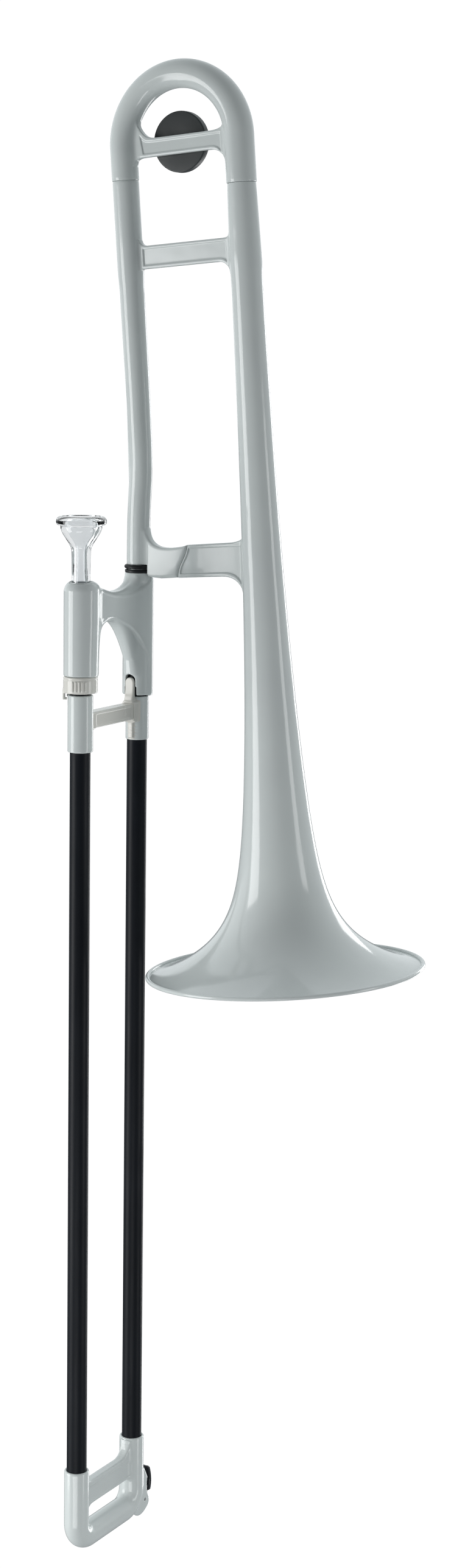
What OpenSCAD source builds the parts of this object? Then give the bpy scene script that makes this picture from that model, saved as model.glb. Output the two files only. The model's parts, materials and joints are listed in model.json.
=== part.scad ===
// Tenor slide trombone moulded in plastic, with composite slide tubes.
// Origin: centre of the cross bar that the left hand holds. +Z runs up the slide
// towards the mouthpiece, +X points to the bell, and the two slide tubes stand at
// -Y (mouthpiece side) and +Y (neck side). Units are millimetres.

/* [Slide] */
// Bore of the inner slide tubes
bore_d = 12.7; // [12:0.1:13]
// Distance between the two slide tube axes
tube_gap = 77; // [74:1:84]
// Outside diameter of the inner slide tubes
inner_d = 13.5; // [13.3:0.05:13.6]
// Outside diameter of the stockings at the end of the inner tubes
stocking_d = 13.94; // [13.8:0.02:13.96]
// Inside diameter of the outer slide tubes
outer_bore_d = 14.1; // [14.04:0.02:14.2]
// Outside diameter of the outer slide tubes
outer_d = 15; // [14.8:0.1:15.2]
// Length of the outer slide tubes
outer_length = 632; // [560:1:680]

/* [Hand grip] */
// Radius of the barrel on the mouthpiece side
receiver_r = 12.2; // [11.8:0.1:13]
// Radius of the barrel on the neck side
barrel_r = 11.5; // [11.2:0.1:12]
// Thickness of the web that the hand holds
web_t = 15; // [12:0.5:18]

/* [Mouthpiece] */
// Outside diameter of the mouthpiece rim
rim_d = 36.6; // [34:0.2:40]
// Inside diameter of the cup at the rim
cup_d = 25; // [23:0.2:27]

/* [Bell section] */
// Diameter of the bell across its rim
bell_d = 203.2; // [190:0.2:216]
// Length of the bell from its rim to the tuning slide seam
bell_length = 567; // [540:1:600]
// Distance between the neck leg and the bell leg
leg_gap = 96.6; // [94:0.2:100]
// Lean of the bell section away from the slide, in degrees
lean = 4.5; // [3:0.5:6]
// Wall thickness of the mouldings
wall = 2; // [1.6:0.1:2.4]
// Thickness of the upper brace and the tuning slide's brace
brace_t = 5.6; // [5:0.2:8]

/* [Counterweight] */
// Diameter of the counterweight disc
weight_d = 44; // [36:1:50]
// Thickness of the counterweight disc
weight_t = 6; // [4:0.5:9]

/* [Hidden] */
$fn = 96;

// A hair of overlap that keeps cuts from ending on a face
cut = 0.5;
// Running gap on a radius between parts that slide or turn
run_gap = 0.06;
// Free gap between neighbours that never touch
free_gap = 0.4;

// Slide tubes
upper_y = -tube_gap / 2;
lower_y = tube_gap / 2;
bore_r = bore_d / 2;
inner_r = inner_d / 2;
outer_r = outer_d / 2;
outer_bore_r = outer_bore_d / 2;
barrel_bore_r = outer_r + 0.7;
outer_top = -27;
outer_bottom = outer_top - outer_length;
socket_depth = 14;
bow_top = outer_bottom + socket_depth;
inner_bottom = outer_bottom + 18;
stocking_length = 110;
sleeve_bottom = -103;

// Hand grip heights
web_top = 10.1;
web_bottom = -10.8;
dome_top = 19.9;
grip_top = 21.5;
receiver_bottom = -47.6;
barrel_bottom = -69.2;
tube_seat_top = 0;
receiver_seat_top = -16;
bumper_seat = -24;
stub_r = 10.1;
stub_bottom = -59;
prong_w = 7.4;
prong_t = 2.7;
prong_top = -56;
notch_top = -53.5;
notch_r = prong_w / 2 + 0.5;

// Mouthpiece
rim_top = 66.7;
rim_bottom = 60.8;
cup_r = 14.8;
shank_r = 6.7;
shank_join = 44.6;
shank_tip = -14;
throat_r = 3.15;

// Slide bow
bow_r = 9.3;
corner_r = 14;
bow_axis_z = bow_top - 55.5;
bow_bore_r = 6.6;
key_pin_y = lower_y + 10.5;
key_pin_z = bow_top - 55.1;
key_pin_r = 1.2;
ear_gap = 7;
ear_t = 2.6;
nipple_r = 3;
nipple_end = 24.8;
water_hole_r = 1.6;
pad_r = 2.9;
pad_t = 2;

// Bell section, measured in its own leaning frame: the leaning neck leg stands
// on the swivel axis at height bend_z, and the bell leg stands leg_gap away
bend_z = 136.6;
neck_bottom = 27.3;
neck_low_r = 8.5;
neck_high_r = 9.1;
neck_cup_r = 9.7;
neck_seam = 169.9;
neck_cup_low = 105;
tenon_r = 7.45;
bell_seam = 159.1;
bell_rim_z = bell_seam - bell_length;
bell_top_r = 10.4;
bell_cup_r = 11.7;
leg_neck_r = 7.6;
leg_bell_r = 8.6;
leg_length = 72;
tuning_r = 10.4;
bow_centre_z = 192.9;
weight_z = 194;
weight_x = leg_gap / 2 - 4.5;
weight_front = 6;

ivory = [0.87, 0.90, 0.90];
cream = [0.86, 0.85, 0.82];
tube_black = [0.06, 0.07, 0.08];
charcoal = [0.16, 0.17, 0.17];

// Bell radius at distance t above the rim: a slender tail, a body and a flare
function bell_radius(t) =
    let(k = bell_d / 203.2)
    k * (9.8 + 28.7 * exp(-t / 165) + 58.2 * exp(-t / 21.8) + 4.9 * exp(-t / 2.5));

// Point on a cubic curve through a and d, steered by b and c
function cubic(a, b, c, d, t) =
    pow(1 - t, 3) * a + 3 * t * pow(1 - t, 2) * b + 3 * t * t * (1 - t) * c + t * t * t * d;

function curve(a, b, c, d, n = 8) = [for (i = [0 : n]) cubic(a, b, c, d, i / n)];

// Points on a circular arc
function arc(c, r, a0, a1, n = 8) =
    [for (i = [0 : n]) c + r * [cos(a0 + (a1 - a0) * i / n), sin(a0 + (a1 - a0) * i / n)]];

module at_upper() { translate([0, upper_y, 0]) children(); }
module at_lower() { translate([0, lower_y, 0]) children(); }

// Straight round piece between two heights
module rod(r, z0, z1, r_top = -1) {
    translate([0, 0, z0])
        cylinder(r1 = r, r2 = r_top < 0 ? r : r_top, h = z1 - z0);
}

// Straight round tube between two heights
module tube(r, hole_r, z0, z1) {
    difference() {
        rod(r, z0, z1);
        rod(hole_r, z0 - cut, z1 + cut);
    }
}

// Outline drawn in (Y, Z) and given a thickness along X, centred on X = x
module yz_plate(points, t, x = 0) {
    translate([x - t / 2, 0, 0])
        rotate([90, 0, 90])
            linear_extrude(height = t) polygon(points);
}

// Outline drawn in (X, Z) and given a thickness along Y, centred on Y = y
module xz_plate(points, t, y = 0) {
    translate([0, y + t / 2, 0])
        rotate([90, 0, 0])
            linear_extrude(height = t) polygon(points);
}

// The leaning frame of the bell section
module leaning() {
    translate([0, lower_y, bend_z]) rotate([0, -lean, 0]) children();
}

module at_bell() { leaning() translate([leg_gap, 0, 0]) children(); }

// ---- Hand grip and inner slide -------------------------------------------

module web_outline() {
    low = -44;
    polygon(concat(
        [[upper_y, low], [upper_y + receiver_r - 0.6, low]],
        curve([upper_y + receiver_r + 0.2, -34], [-25, -16], [-17, web_bottom], [-6.4, web_bottom]),
        curve([-6.4, web_bottom], [6, web_bottom], [18, -24], [lower_y - barrel_r + 0.8, low]),
        [[lower_y, low], [lower_y, grip_top - 3]],
        curve([lower_y - barrel_r + 0.4, grip_top - 1], [23, 13.5], [15, web_top], [4.7, web_top]),
        curve([4.7, web_top], [-9, web_top], [-13, dome_top - 2.4], [upper_y + 11, dome_top - 2.2]),
        [[upper_y, dome_top - 2.2]]
    ));
}

module receiver_barrel() {
    rounding = 7;
    rotate_extrude()
        polygon(concat(
            [[0, stub_bottom], [stub_r, stub_bottom], [stub_r, receiver_bottom],
             [receiver_r, receiver_bottom]],
            arc([receiver_r - rounding, dome_top - rounding], rounding, 0, 90),
            [[0, dome_top]]
        ));
}

module neck_barrel() {
    collar_r = 9.9;
    rotate_extrude()
        polygon(concat(
            [[0, barrel_bottom], [barrel_r, barrel_bottom], [barrel_r, -2]],
            curve([barrel_r, -2], [barrel_r, 8], [collar_r, 10], [collar_r, grip_top]),
            [[0, grip_top]]
        ));
}

module hand_grip() {
    color(ivory)
    difference() {
        union() {
            at_upper() receiver_barrel();
            at_lower() neck_barrel();
            translate([-web_t / 2, 0, 0])
                rotate([90, 0, 90])
                    linear_extrude(height = web_t) web_outline();
        }
        at_upper() {
            rod(barrel_bore_r, stub_bottom - cut, bumper_seat);
            rod(inner_r, bumper_seat - cut, receiver_seat_top);
            rod(8, receiver_seat_top, dome_top + cut);
        }
        at_lower() {
            rod(barrel_bore_r, barrel_bottom - cut, bumper_seat);
            rod(inner_r, bumper_seat - cut, tube_seat_top);
            rod(tenon_r, tube_seat_top, grip_top + cut);
        }
        // Notch that the brace prong rises into
        translate([-notch_r, lower_y - barrel_r - 2, barrel_bottom - cut])
            cube([2 * notch_r, barrel_r - barrel_bore_r + 3,
                  notch_top - notch_r - barrel_bottom + cut]);
        translate([0, lower_y - barrel_bore_r + 1, notch_top - notch_r])
            rotate([90, 0, 0]) cylinder(r = notch_r, h = barrel_r - barrel_bore_r + 3);
    }
}

module mouthpiece_receiver() {
    color(ivory)
    at_upper()
        rotate_extrude()
            polygon([[shank_r + run_gap, dome_top - 0.4], [8, dome_top - 0.4],
                     [8, receiver_seat_top], [5.2, receiver_seat_top],
                     [5.85 + run_gap, receiver_seat_top + 1.5]]);
}

module neck_tenon() {
    color(ivory) at_lower() tube(tenon_r, bore_r, tube_seat_top, 52);
}

module inner_tube(top) {
    color(charcoal) tube(inner_r, bore_r, inner_bottom, top);
}

module inner_tube_upper() { at_upper() inner_tube(receiver_seat_top); }
module inner_tube_lower() { at_lower() inner_tube(tube_seat_top); }

// Slightly larger end of an inner tube, the only part that rubs in the outer tube
module stocking() {
    color(charcoal)
        tube(stocking_d / 2, inner_r, inner_bottom, inner_bottom + stocking_length);
}

module stocking_upper() { at_upper() stocking(); }
module stocking_lower() { at_lower() stocking(); }

// Soft ring that the outer tube meets in first position
module bumper() {
    color([0.1, 0.1, 0.1]) tube(barrel_bore_r, inner_r, outer_top + 0.6, bumper_seat);
}

module bumper_upper() { at_upper() bumper(); }
module bumper_lower() { at_lower() bumper(); }

module neck_washer() {
    color(tube_black) at_lower() tube(9.8, tenon_r, grip_top, grip_top + 2.2);
}

module neck_o_ring() {
    ring_r = 1.5;
    color(tube_black)
    at_lower()
        translate([0, 0, neck_bottom - ring_r - 0.05])
            rotate_extrude()
                translate([tenon_r + ring_r - 0.15, 0]) circle(r = ring_r, $fn = 32);
}

// ---- Slide lock and mouthpiece -------------------------------------------

lock_top = receiver_bottom - 0.3;
lock_bottom = -59.9;
hook_bottom = -64.8;
hook_angle = 212;
catch_turn = 30;

module lock_ring() {
    lock_r = 12.4;
    rib_count = 5;
    rib_pitch = 11;
    color(cream)
    at_upper() {
        difference() {
            union() {
                rod(lock_r, lock_bottom, lock_top);
                for (i = [0 : rib_count - 1])
                    rotate([0, 0, -62 + (i - (rib_count - 1) / 2) * rib_pitch])
                        translate([lock_r - 0.3, -0.6, lock_bottom + 2.2])
                            cube([0.9, 1.2, 7]);
            }
            rod(stub_r + run_gap, stub_bottom - run_gap, lock_top + cut);
            rod(barrel_bore_r + 1.6, lock_bottom - cut, stub_bottom);
        }
        // Hook that reaches down past the sleeve, with a toe that turns under its catch
        rotate([0, 0, hook_angle]) {
            translate([11, -2.6, hook_bottom]) cube([1.8, 5.2, lock_bottom - hook_bottom + 2]);
            translate([9.7, -2.6, hook_bottom]) cube([1.6, 5.2, 1.3]);
        }
    }
}

module mouthpiece() {
    rim_r = rim_d / 2;
    edge = 2;
    cup_inner = cup_d / 2;
    color([0.85, 0.86, 0.88, 0.5])
    at_upper()
        rotate_extrude()
            polygon(concat(
                [[shank_r - 0.85, shank_tip], [shank_r, dome_top], [shank_r, shank_join - 3]],
                curve([shank_r, shank_join - 3], [shank_r + 0.4, 50], [12, 50], [cup_r, rim_bottom - 1]),
                [[cup_r + 0.6, rim_bottom]],
                arc([rim_r - edge, rim_bottom + edge], edge, -90, 0, 5),
                arc([rim_r - edge, rim_top - edge], edge, 0, 90, 5),
                curve([rim_r - edge, rim_top], [15, rim_top + 0.6], [cup_inner + 0.8, rim_top],
                      [cup_inner, rim_bottom + 3.6], 6),
                curve([cup_inner, rim_bottom + 3.6], [10.8, 56], [5.4, 50], [throat_r, 45.5], 6),
                [[throat_r, 34], [5, shank_tip]]
            ));
}

// ---- Outer slide ----------------------------------------------------------

sleeve_upper_r = 9.2;
sleeve_lower_r = 8.5;
sleeve_upper_top = -61.4;
sleeve_lower_top = barrel_bottom - 1;

module slide_sleeve_upper() {
    color(ivory)
    at_upper() {
        tube(sleeve_upper_r, outer_r, sleeve_bottom, sleeve_upper_top);
        // Catch for the lock ring's hook
        rotate([0, 0, hook_angle - catch_turn])
            translate([sleeve_upper_r - 0.4, -2.6, sleeve_upper_top - 1.5])
                cube([1.4, 5.2, 1.5]);
    }
}

module slide_sleeve_lower() {
    color(ivory) at_lower() tube(sleeve_lower_r, outer_r, sleeve_bottom, sleeve_lower_top);
}

module outer_tube() {
    color(tube_black) tube(outer_r, outer_bore_r, outer_bottom, outer_top);
}

module outer_tube_upper() { at_upper() outer_tube(); }
module outer_tube_lower() { at_lower() outer_tube(); }

brace_low = -87;
brace_high = -75;
brace_seam_y = 25.5;

// Bar between the sleeves, with a sunk panel on both faces
module slide_brace() {
    half = 5;
    color(cream)
    difference() {
        yz_plate(concat(
            [[upper_y + sleeve_upper_r - 2, brace_low - 3.5]],
            curve([upper_y + sleeve_upper_r, brace_low - 3.5], [-28.8, brace_low - 1],
                  [-26.5, brace_low], [-24, brace_low], 5),
            [[brace_seam_y - 0.02, brace_low], [brace_seam_y - 0.02, brace_high],
             [upper_y + sleeve_upper_r - 2, brace_high]]
        ), half * 2);
        at_upper() rod(sleeve_upper_r, brace_low - 9, brace_high + 9);
        for (side = [-1, 1])
            translate([side * half - 1, upper_y + sleeve_upper_r + 4, brace_low + 2])
                cube([2, 44, brace_high - brace_low - 4]);
    }
}

// Clamp on the lower sleeve, with the prong that seats in the hand grip's notch
module slide_brace_clamp() {
    half = 5.4;
    color(cream)
    difference() {
        union() {
            yz_plate([
                [brace_seam_y, brace_low - 1], [lower_y - 6, brace_low - 1],
                [lower_y - 6, brace_high + 1], [brace_seam_y, brace_high + 1]
            ], half * 2);
            // Flat prong with a round end
            translate([-prong_w / 2, lower_y - barrel_r + 0.2, brace_high])
                cube([prong_w, prong_t, prong_top - prong_w / 2 - brace_high]);
            translate([0, lower_y - barrel_r + 0.2 + prong_t, prong_top - prong_w / 2])
                rotate([90, 0, 0]) cylinder(d = prong_w, h = prong_t);
            // Ribbed tail below the clamp
            translate([-2, lower_y - sleeve_lower_r - 1.2, sleeve_bottom + 2])
                cube([4, 3, brace_low - sleeve_bottom - 2]);
        }
        at_lower() rod(sleeve_lower_r, sleeve_bottom - 1, sleeve_lower_top);
        at_lower() rod(barrel_bore_r + 0.3, sleeve_lower_top - cut, 0);
    }
}

// Round passage of the slide bow: leg, corner, run, corner, leg
module bow_path(r, leg_top) {
    run = tube_gap - 2 * corner_r;
    corner_z = bow_axis_z + corner_r;
    for (side = [-1, 1]) {
        translate([0, side * tube_gap / 2, 0]) rod(r, corner_z, leg_top);
        translate([0, side * run / 2, corner_z])
            rotate([90, 0, 90])
                rotate_extrude(angle = 90, start = side < 0 ? 180 : 270)
                    translate([corner_r, 0]) circle(r = r);
    }
    translate([0, run / 2, bow_axis_z]) rotate([90, 0, 0]) cylinder(r = r, h = run);
}

module key_ear_outline() {
    translate([lower_y, bow_top])
        polygon(concat(
            [[2, -22], [6, -22]],
            curve([6, -22], [10, -28.5], [13, -34], [14.8, -38.3], 6),
            curve([14.8, -38.3], [13, -42.5], [13, -47.5], [15, -51.8], 6),
            curve([15, -51.8], [17.8, -56], [17.8, -60.6], [12.5, -63], 6),
            curve([12.5, -63], [8, -65.8], [2, -67], [-2.7, -63.1], 6),
            [[-6, -58], [-3, -44]]
        ));
}

// Puts its children at a distance from the lower corner's centre, facing out of the bow
module at_water_hole(distance) {
    out = distance * sqrt(0.5);
    translate([0, lower_y - corner_r + out, bow_axis_z + corner_r - out])
        rotate([-135, 0, 0]) children();
}

module slide_bow() {
    color(ivory)
    difference() {
        union() {
            bow_path(bow_r, bow_top);
            // Nipple that the water key's pad closes
            at_water_hole(corner_r + 4) cylinder(r = nipple_r, h = nipple_end - corner_r - 4);
            // Ears that carry the water key's pin
            for (side = [-1, 1])
                translate([side * (ear_gap + ear_t) / 2 - ear_t / 2, 0, 0])
                    rotate([90, 0, 90]) linear_extrude(height = ear_t) key_ear_outline();
        }
        bow_path(bow_bore_r, bow_top - socket_depth + 0.1);
        for (y = [upper_y, lower_y])
            translate([0, y, 0]) rod(outer_r, bow_top - socket_depth, bow_top + cut);
        at_water_hole(corner_r) cylinder(r = water_hole_r, h = nipple_end);
        // Hole for the pin
        translate([-12, key_pin_y, key_pin_z]) rotate([0, 90, 0]) cylinder(r = key_pin_r, h = 24);
    }
}

// Bar across the slide bow, with its ledges and the corner gussets
module slide_bow_brace() {
    half = 4;
    low = bow_top - 32;
    high = bow_top - 13.5;
    left = upper_y + bow_r - 2;
    right = lower_y - bow_r + 2;
    color(ivory)
    difference() {
        yz_plate(concat(
            [[left, low - 6]],
            curve([left + 2, low - 6], [left + 3, low - 2], [left + 5, low], [left + 10, low], 5),
            [[right - 3, low], [right, low - 1]],
            [[right, high + 12]],
            curve([right - 2, high + 12], [right - 3, high + 5], [right - 6, high + 1],
                  [right - 12, high], 5),
            [[left, high]]
        ), half * 2);
        for (y = [upper_y, lower_y])
            translate([0, y, 0]) rod(bow_r, low - 12, high + 20);
        // Sunk band under the top ledge
        for (side = [-1, 1])
            translate([side * half - 0.8, left + 6, high - 5.5]) cube([1.6, right - left - 14, 3.6]);
    }
}

// ---- Water key --------------------------------------------------------------

module water_key_lever() {
    half = ear_gap / 2 - free_gap;
    thumb_half = 5;
    boss_r = 3.7;
    // Seat of the pad, square to the line from the corner's centre
    seat = (nipple_end + pad_t + 0.1) * sqrt(0.5);
    seat_y = seat - corner_r;
    seat_z = bow_axis_z - bow_top + corner_r - seat;
    color(tube_black)
    difference() {
        union() {
            translate([0, lower_y, bow_top]) {
                // Thumb plate
                yz_plate(concat(
                    curve([19, -31.5], [21, -36], [23.4, -44], [20.3, -51], 8),
                    curve([17.6, -51], [20.4, -44], [18.6, -36], [16.4, -31], 8)
                ), thumb_half * 2);
                // Arm between the thumb plate and the pad's seat
                yz_plate([
                    [20.3, -49], [20.3, -51], [17.8, -55.5], [13.4, -58.6],
                    [seat_y + 4.3, seat_z + 0.5], [seat_y - 0.5, seat_z - 4.3],
                    [seat_y - 2.4, seat_z - 2.4], [seat_y + 2, seat_z + 2],
                    [7.6, -57], [9, -51.6], [12.5, -51.8], [17.6, -49]
                ], half * 2);
            }
            translate([-half, key_pin_y, key_pin_z])
                rotate([0, 90, 0]) cylinder(r = boss_r, h = half * 2);
        }
        translate([-12, key_pin_y, key_pin_z])
            rotate([0, 90, 0]) cylinder(r = key_pin_r + run_gap, h = 24);
        // Room for the spring coil on the pin
        translate([-1.4, key_pin_y, key_pin_z]) rotate([0, 90, 0]) cylinder(r = 2.6, h = 2.8);
    }
}

module water_key_pad() {
    color([0.75, 0.7, 0.62]) at_water_hole(nipple_end + 0.1) cylinder(r = pad_r, h = pad_t);
}

module water_key_pin() {
    color("silver")
    translate([-(ear_gap / 2 + ear_t), key_pin_y, key_pin_z])
        rotate([0, 90, 0]) cylinder(r = key_pin_r, h = ear_gap + 2 * ear_t);
}

// Coil of the return spring, drawn as closed turns round the pin
module water_key_spring() {
    wire_r = 0.35;
    turns = 3;
    color("silver")
    for (i = [0 : turns - 1])
        translate([(i - (turns - 1) / 2) * 2.2 * wire_r, key_pin_y, key_pin_z])
            rotate([0, 90, 0])
                rotate_extrude() translate([2, 0]) circle(r = wire_r, $fn = 24);
}

// ---- Bell section -------------------------------------------------------------

// Everything below (side = -1) or above (side = 1) the mitre where the neck starts to lean
module mitre_block(side) {
    size = 400;
    translate([0, lower_y, bend_z])
        rotate([0, -lean / 2, 0])
            translate([-size / 2, -size / 2, side < 0 ? -size : 0]) cube(size);
}

// Neck outside: upright leg, leaning leg and the cup of the tuning slide
module neck_solid() {
    intersection() {
        at_lower() rod(neck_low_r, neck_bottom, bend_z + 5);
        mitre_block(-1);
    }
    intersection() {
        leaning() rod(neck_low_r, -5, 5);
        mitre_block(1);
    }
    leaning() {
        rod(neck_low_r, 5, neck_cup_low - 12, neck_high_r);
        rod(neck_high_r, neck_cup_low - 12, neck_cup_low, neck_cup_r);
        rod(neck_cup_r, neck_cup_low, neck_seam);
    }
}

// Air passage of the neck, from the tenon's socket to the cup of the tuning slide
module neck_bore() {
    at_lower() rod(tenon_r + run_gap, neck_bottom - cut, 53);
    intersection() {
        at_lower() rod(bore_r, 53, bend_z + 5);
        mitre_block(-1);
    }
    intersection() {
        leaning() rod(bore_r, -5, neck_seam - leg_length - 6);
        mitre_block(1);
    }
    leaning() rod(leg_neck_r + run_gap, neck_seam - leg_length - 6, neck_seam + cut);
}

module neck() {
    color(ivory)
    difference() {
        neck_solid();
        neck_bore();
    }
}

bell_steps = 40;
cup_taper = 60;
bead_r = 1.5;

// Outer radius of the bell with the tuning slide's cup at its top
function bell_outer(t) =
    t > bell_length - cup_taper
        ? bell_top_r + (bell_cup_r - bell_top_r) * (bell_length - t) / cup_taper
        : min(bell_d / 2 - bead_r, max(bell_radius(t), bell_cup_r - 0.2));

// Distances above the rim, crowded towards the flare
bell_t = [for (i = [0 : bell_steps]) (bell_length - cup_taper) * pow(i / bell_steps, 2.2)];

// Wall at distance t: thinner in the flare
function bell_wall(t) = wall * (0.75 + 0.25 * min(1, t / 120));

module bell() {
    cup_bottom = bell_length - leg_length - 6;
    color(ivory)
    at_bell() translate([0, 0, bell_rim_z])
        rotate_extrude()
            polygon(concat(
                [for (t = bell_t) [bell_outer(t), t]],
                [[bell_top_r, bell_length], [leg_bell_r + run_gap, bell_length],
                 [leg_bell_r + run_gap, cup_bottom]],
                [for (i = [bell_steps : -1 : 0]) if (bell_t[i] < cup_bottom - 12)
                    [bell_outer(bell_t[i]) - bell_wall(bell_t[i]), bell_t[i]]]
            ));
}

// Rolled bead round the rim
module bell_rim_bead() {
    color(ivory)
    at_bell() translate([0, 0, bell_rim_z])
        rotate_extrude()
            translate([bell_d / 2 - bead_r, bead_r / 2]) circle(r = bead_r, $fn = 32);
}

// Bell outside above the flare, for shaping the saddles of the braces
module bell_solid() {
    at_bell() translate([0, 0, bell_rim_z])
        rotate_extrude()
            polygon(concat(
                [[0, bell_t[20]]],
                [for (i = [20 : bell_steps]) [bell_outer(bell_t[i]), bell_t[i]]],
                [[bell_top_r, bell_length], [0, bell_length]]
            ));
}

// Plate in the plane of the bell section, in its leaning frame
module leaning_plate(points, t) { leaning() xz_plate(points, t); }

module upper_brace() {
    low = 105.2;
    high = 122;
    left = neck_cup_r - 3;
    right = leg_gap - bell_cup_r + 3;
    color(ivory)
    difference() {
        leaning_plate(concat(
            [[left, low], [right - 12, low]],
            curve([right - 12, low], [right - 7, low], [right - 4, low - 3],
                  [right - 2.4, low - 8], 5),
            [[right, low - 8], [right, high], [left + 8, high]],
            curve([left + 8, high], [left + 5, high], [left + 4, high + 1],
                  [left + 3.4, high + 3], 3),
            [[left, high + 3]]
        ), brace_t);
        neck_solid();
        bell_solid();
    }
}

lower_t = 6.4;
collar_clear_r = 10.8;
lower_low = -119.9;
lower_high = -95.4;

// S-shaped seam where the two halves of the lower brace meet
function lower_seam() =
    curve([35.6, lower_high - 2.2], [34, lower_high - 12], [28, lower_low + 12],
          [25.8, lower_low + 2], 6);

module lower_brace_neck_half() {
    left = -4;
    color(ivory)
    difference() {
        leaning_plate(concat(
            [[left, lower_low + 3]],
            [for (i = [0 : 6]) lower_seam()[6 - i]],
            curve([28, lower_high - 1.2], [12, lower_high - 2.2], [5, lower_high + 1],
                  [2.2, lower_high + 10], 6),
            [[left, lower_high + 10]]
        ), lower_t + 0.8);
        neck_solid();
        // Clear of the grip's collar, washer and ring, which this half hangs past
        at_lower() rod(collar_clear_r, -5, neck_bottom + 0.2);
    }
}

module lower_brace_bell_half() {
    right = leg_gap - 11;
    color(ivory)
    difference() {
        leaning_plate(concat(
            lower_seam(),
            [[27, lower_low], [leg_gap - 34, lower_low]],
            curve([leg_gap - 34, lower_low], [leg_gap - 24, lower_low],
                  [leg_gap - 19, lower_low - 4], [leg_gap - 16.6, lower_low - 13], 5),
            [[right, lower_low - 13], [right, lower_high + 1], [leg_gap - 20, lower_high + 1],
             [leg_gap - 30, lower_high]]
        ), lower_t);
        bell_solid();
        // Sunk panel on each face
        for (side = [-1, 1])
            leaning()
                translate([38, side * lower_t / 2 - 0.8, lower_low + 4])
                    cube([leg_gap - 62, 1.6, lower_high - lower_low - 8]);
    }
}

// ---- Tuning slide -----------------------------------------------------------

// Half circle with two straight legs that end at the given heights
module tuning_path(r, neck_end, bell_end) {
    rod(r, neck_end, bow_centre_z);
    translate([leg_gap, 0, 0]) rod(r, bell_end, bow_centre_z);
    translate([leg_gap / 2, 0, bow_centre_z])
        rotate([90, 0, 0])
            rotate_extrude(angle = 180, start = 0)
                translate([leg_gap / 2, 0]) circle(r = r);
}

module tuning_bow() {
    color(ivory)
    leaning()
        difference() {
            tuning_path(tuning_r, neck_seam + 0.1, bell_seam + 0.1);
            tuning_path(bore_r, neck_seam - 1, bell_seam - 1);
        }
}

module tuning_leg_neck() {
    color(ivory) leaning() tube(leg_neck_r, bore_r, neck_seam - leg_length, neck_seam + 0.1);
}

module tuning_leg_bell() {
    color(ivory)
    leaning() translate([leg_gap, 0, 0])
        tube(leg_bell_r, bore_r, bell_seam - leg_length, bell_seam + 0.1);
}

module tuning_brace() {
    low = 184.7;
    high = 198.1;
    left = tuning_r - 3;
    right = leg_gap - tuning_r + 3;
    color(ivory)
    difference() {
        leaning_plate(concat(
            [[left, low - 3]],
            curve([left + 3, low - 3], [left + 5, low], [left + 8, low], [left + 12, low], 4),
            curve([right - 16, low], [right - 10, low], [right - 6, low - 2],
                  [right - 3, low - 8], 5),
            [[right, low - 8], [right, high + 3]],
            curve([right - 5, high + 2], [right - 8, high + 1], [right - 10, high],
                  [right - 14, high], 4),
            curve([left + 18, high], [left + 11, high], [left + 9, high + 5],
                  [left + 6, high + 14], 6),
            [[left + 3, high + 14]]
        ), brace_t);
        for (x = [0, leg_gap])
            leaning() translate([x, 0, 0]) rod(tuning_r, low - 30, high + 30);
        // Blind hole for the counterweight's stud
        at_weight() rod(2.5, -1, brace_t);
    }
}

// ---- Counterweight ------------------------------------------------------------

module at_weight() {
    leaning() translate([weight_x, 0, weight_z]) rotate([-90, 0, 0]) children();
}

module counterweight() {
    color(charcoal) at_weight() tube(weight_d / 2, 2.5, weight_front, weight_front + weight_t);
}

module counterweight_cap() {
    color(charcoal)
    at_weight()
        rod(weight_d / 2 - 4, weight_front + weight_t, weight_front + weight_t + 3,
            weight_d / 2 - 6);
}

module counterweight_stud() {
    color("silver") at_weight() rod(2.5, -1, weight_front + weight_t);
}

module counterweight_nut() {
    color(charcoal) at_weight() tube(5, 2.5, brace_t / 2, weight_front);
}

hand_grip();
mouthpiece_receiver();
neck_tenon();
inner_tube_upper();
inner_tube_lower();
stocking_upper();
stocking_lower();
bumper_upper();
bumper_lower();
neck_washer();
neck_o_ring();
lock_ring();
mouthpiece();
slide_sleeve_upper();
slide_sleeve_lower();
outer_tube_upper();
outer_tube_lower();
slide_brace();
slide_brace_clamp();
slide_bow();
slide_bow_brace();
water_key_lever();
water_key_pad();
water_key_pin();
water_key_spring();
neck();
bell();
bell_rim_bead();
upper_brace();
lower_brace_neck_half();
lower_brace_bell_half();
tuning_bow();
tuning_leg_neck();
tuning_leg_bell();
tuning_brace();
counterweight();
counterweight_cap();
counterweight_stud();
counterweight_nut();
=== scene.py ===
import json
import math

import bpy
import numpy as np
from mathutils import Matrix, Vector


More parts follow.
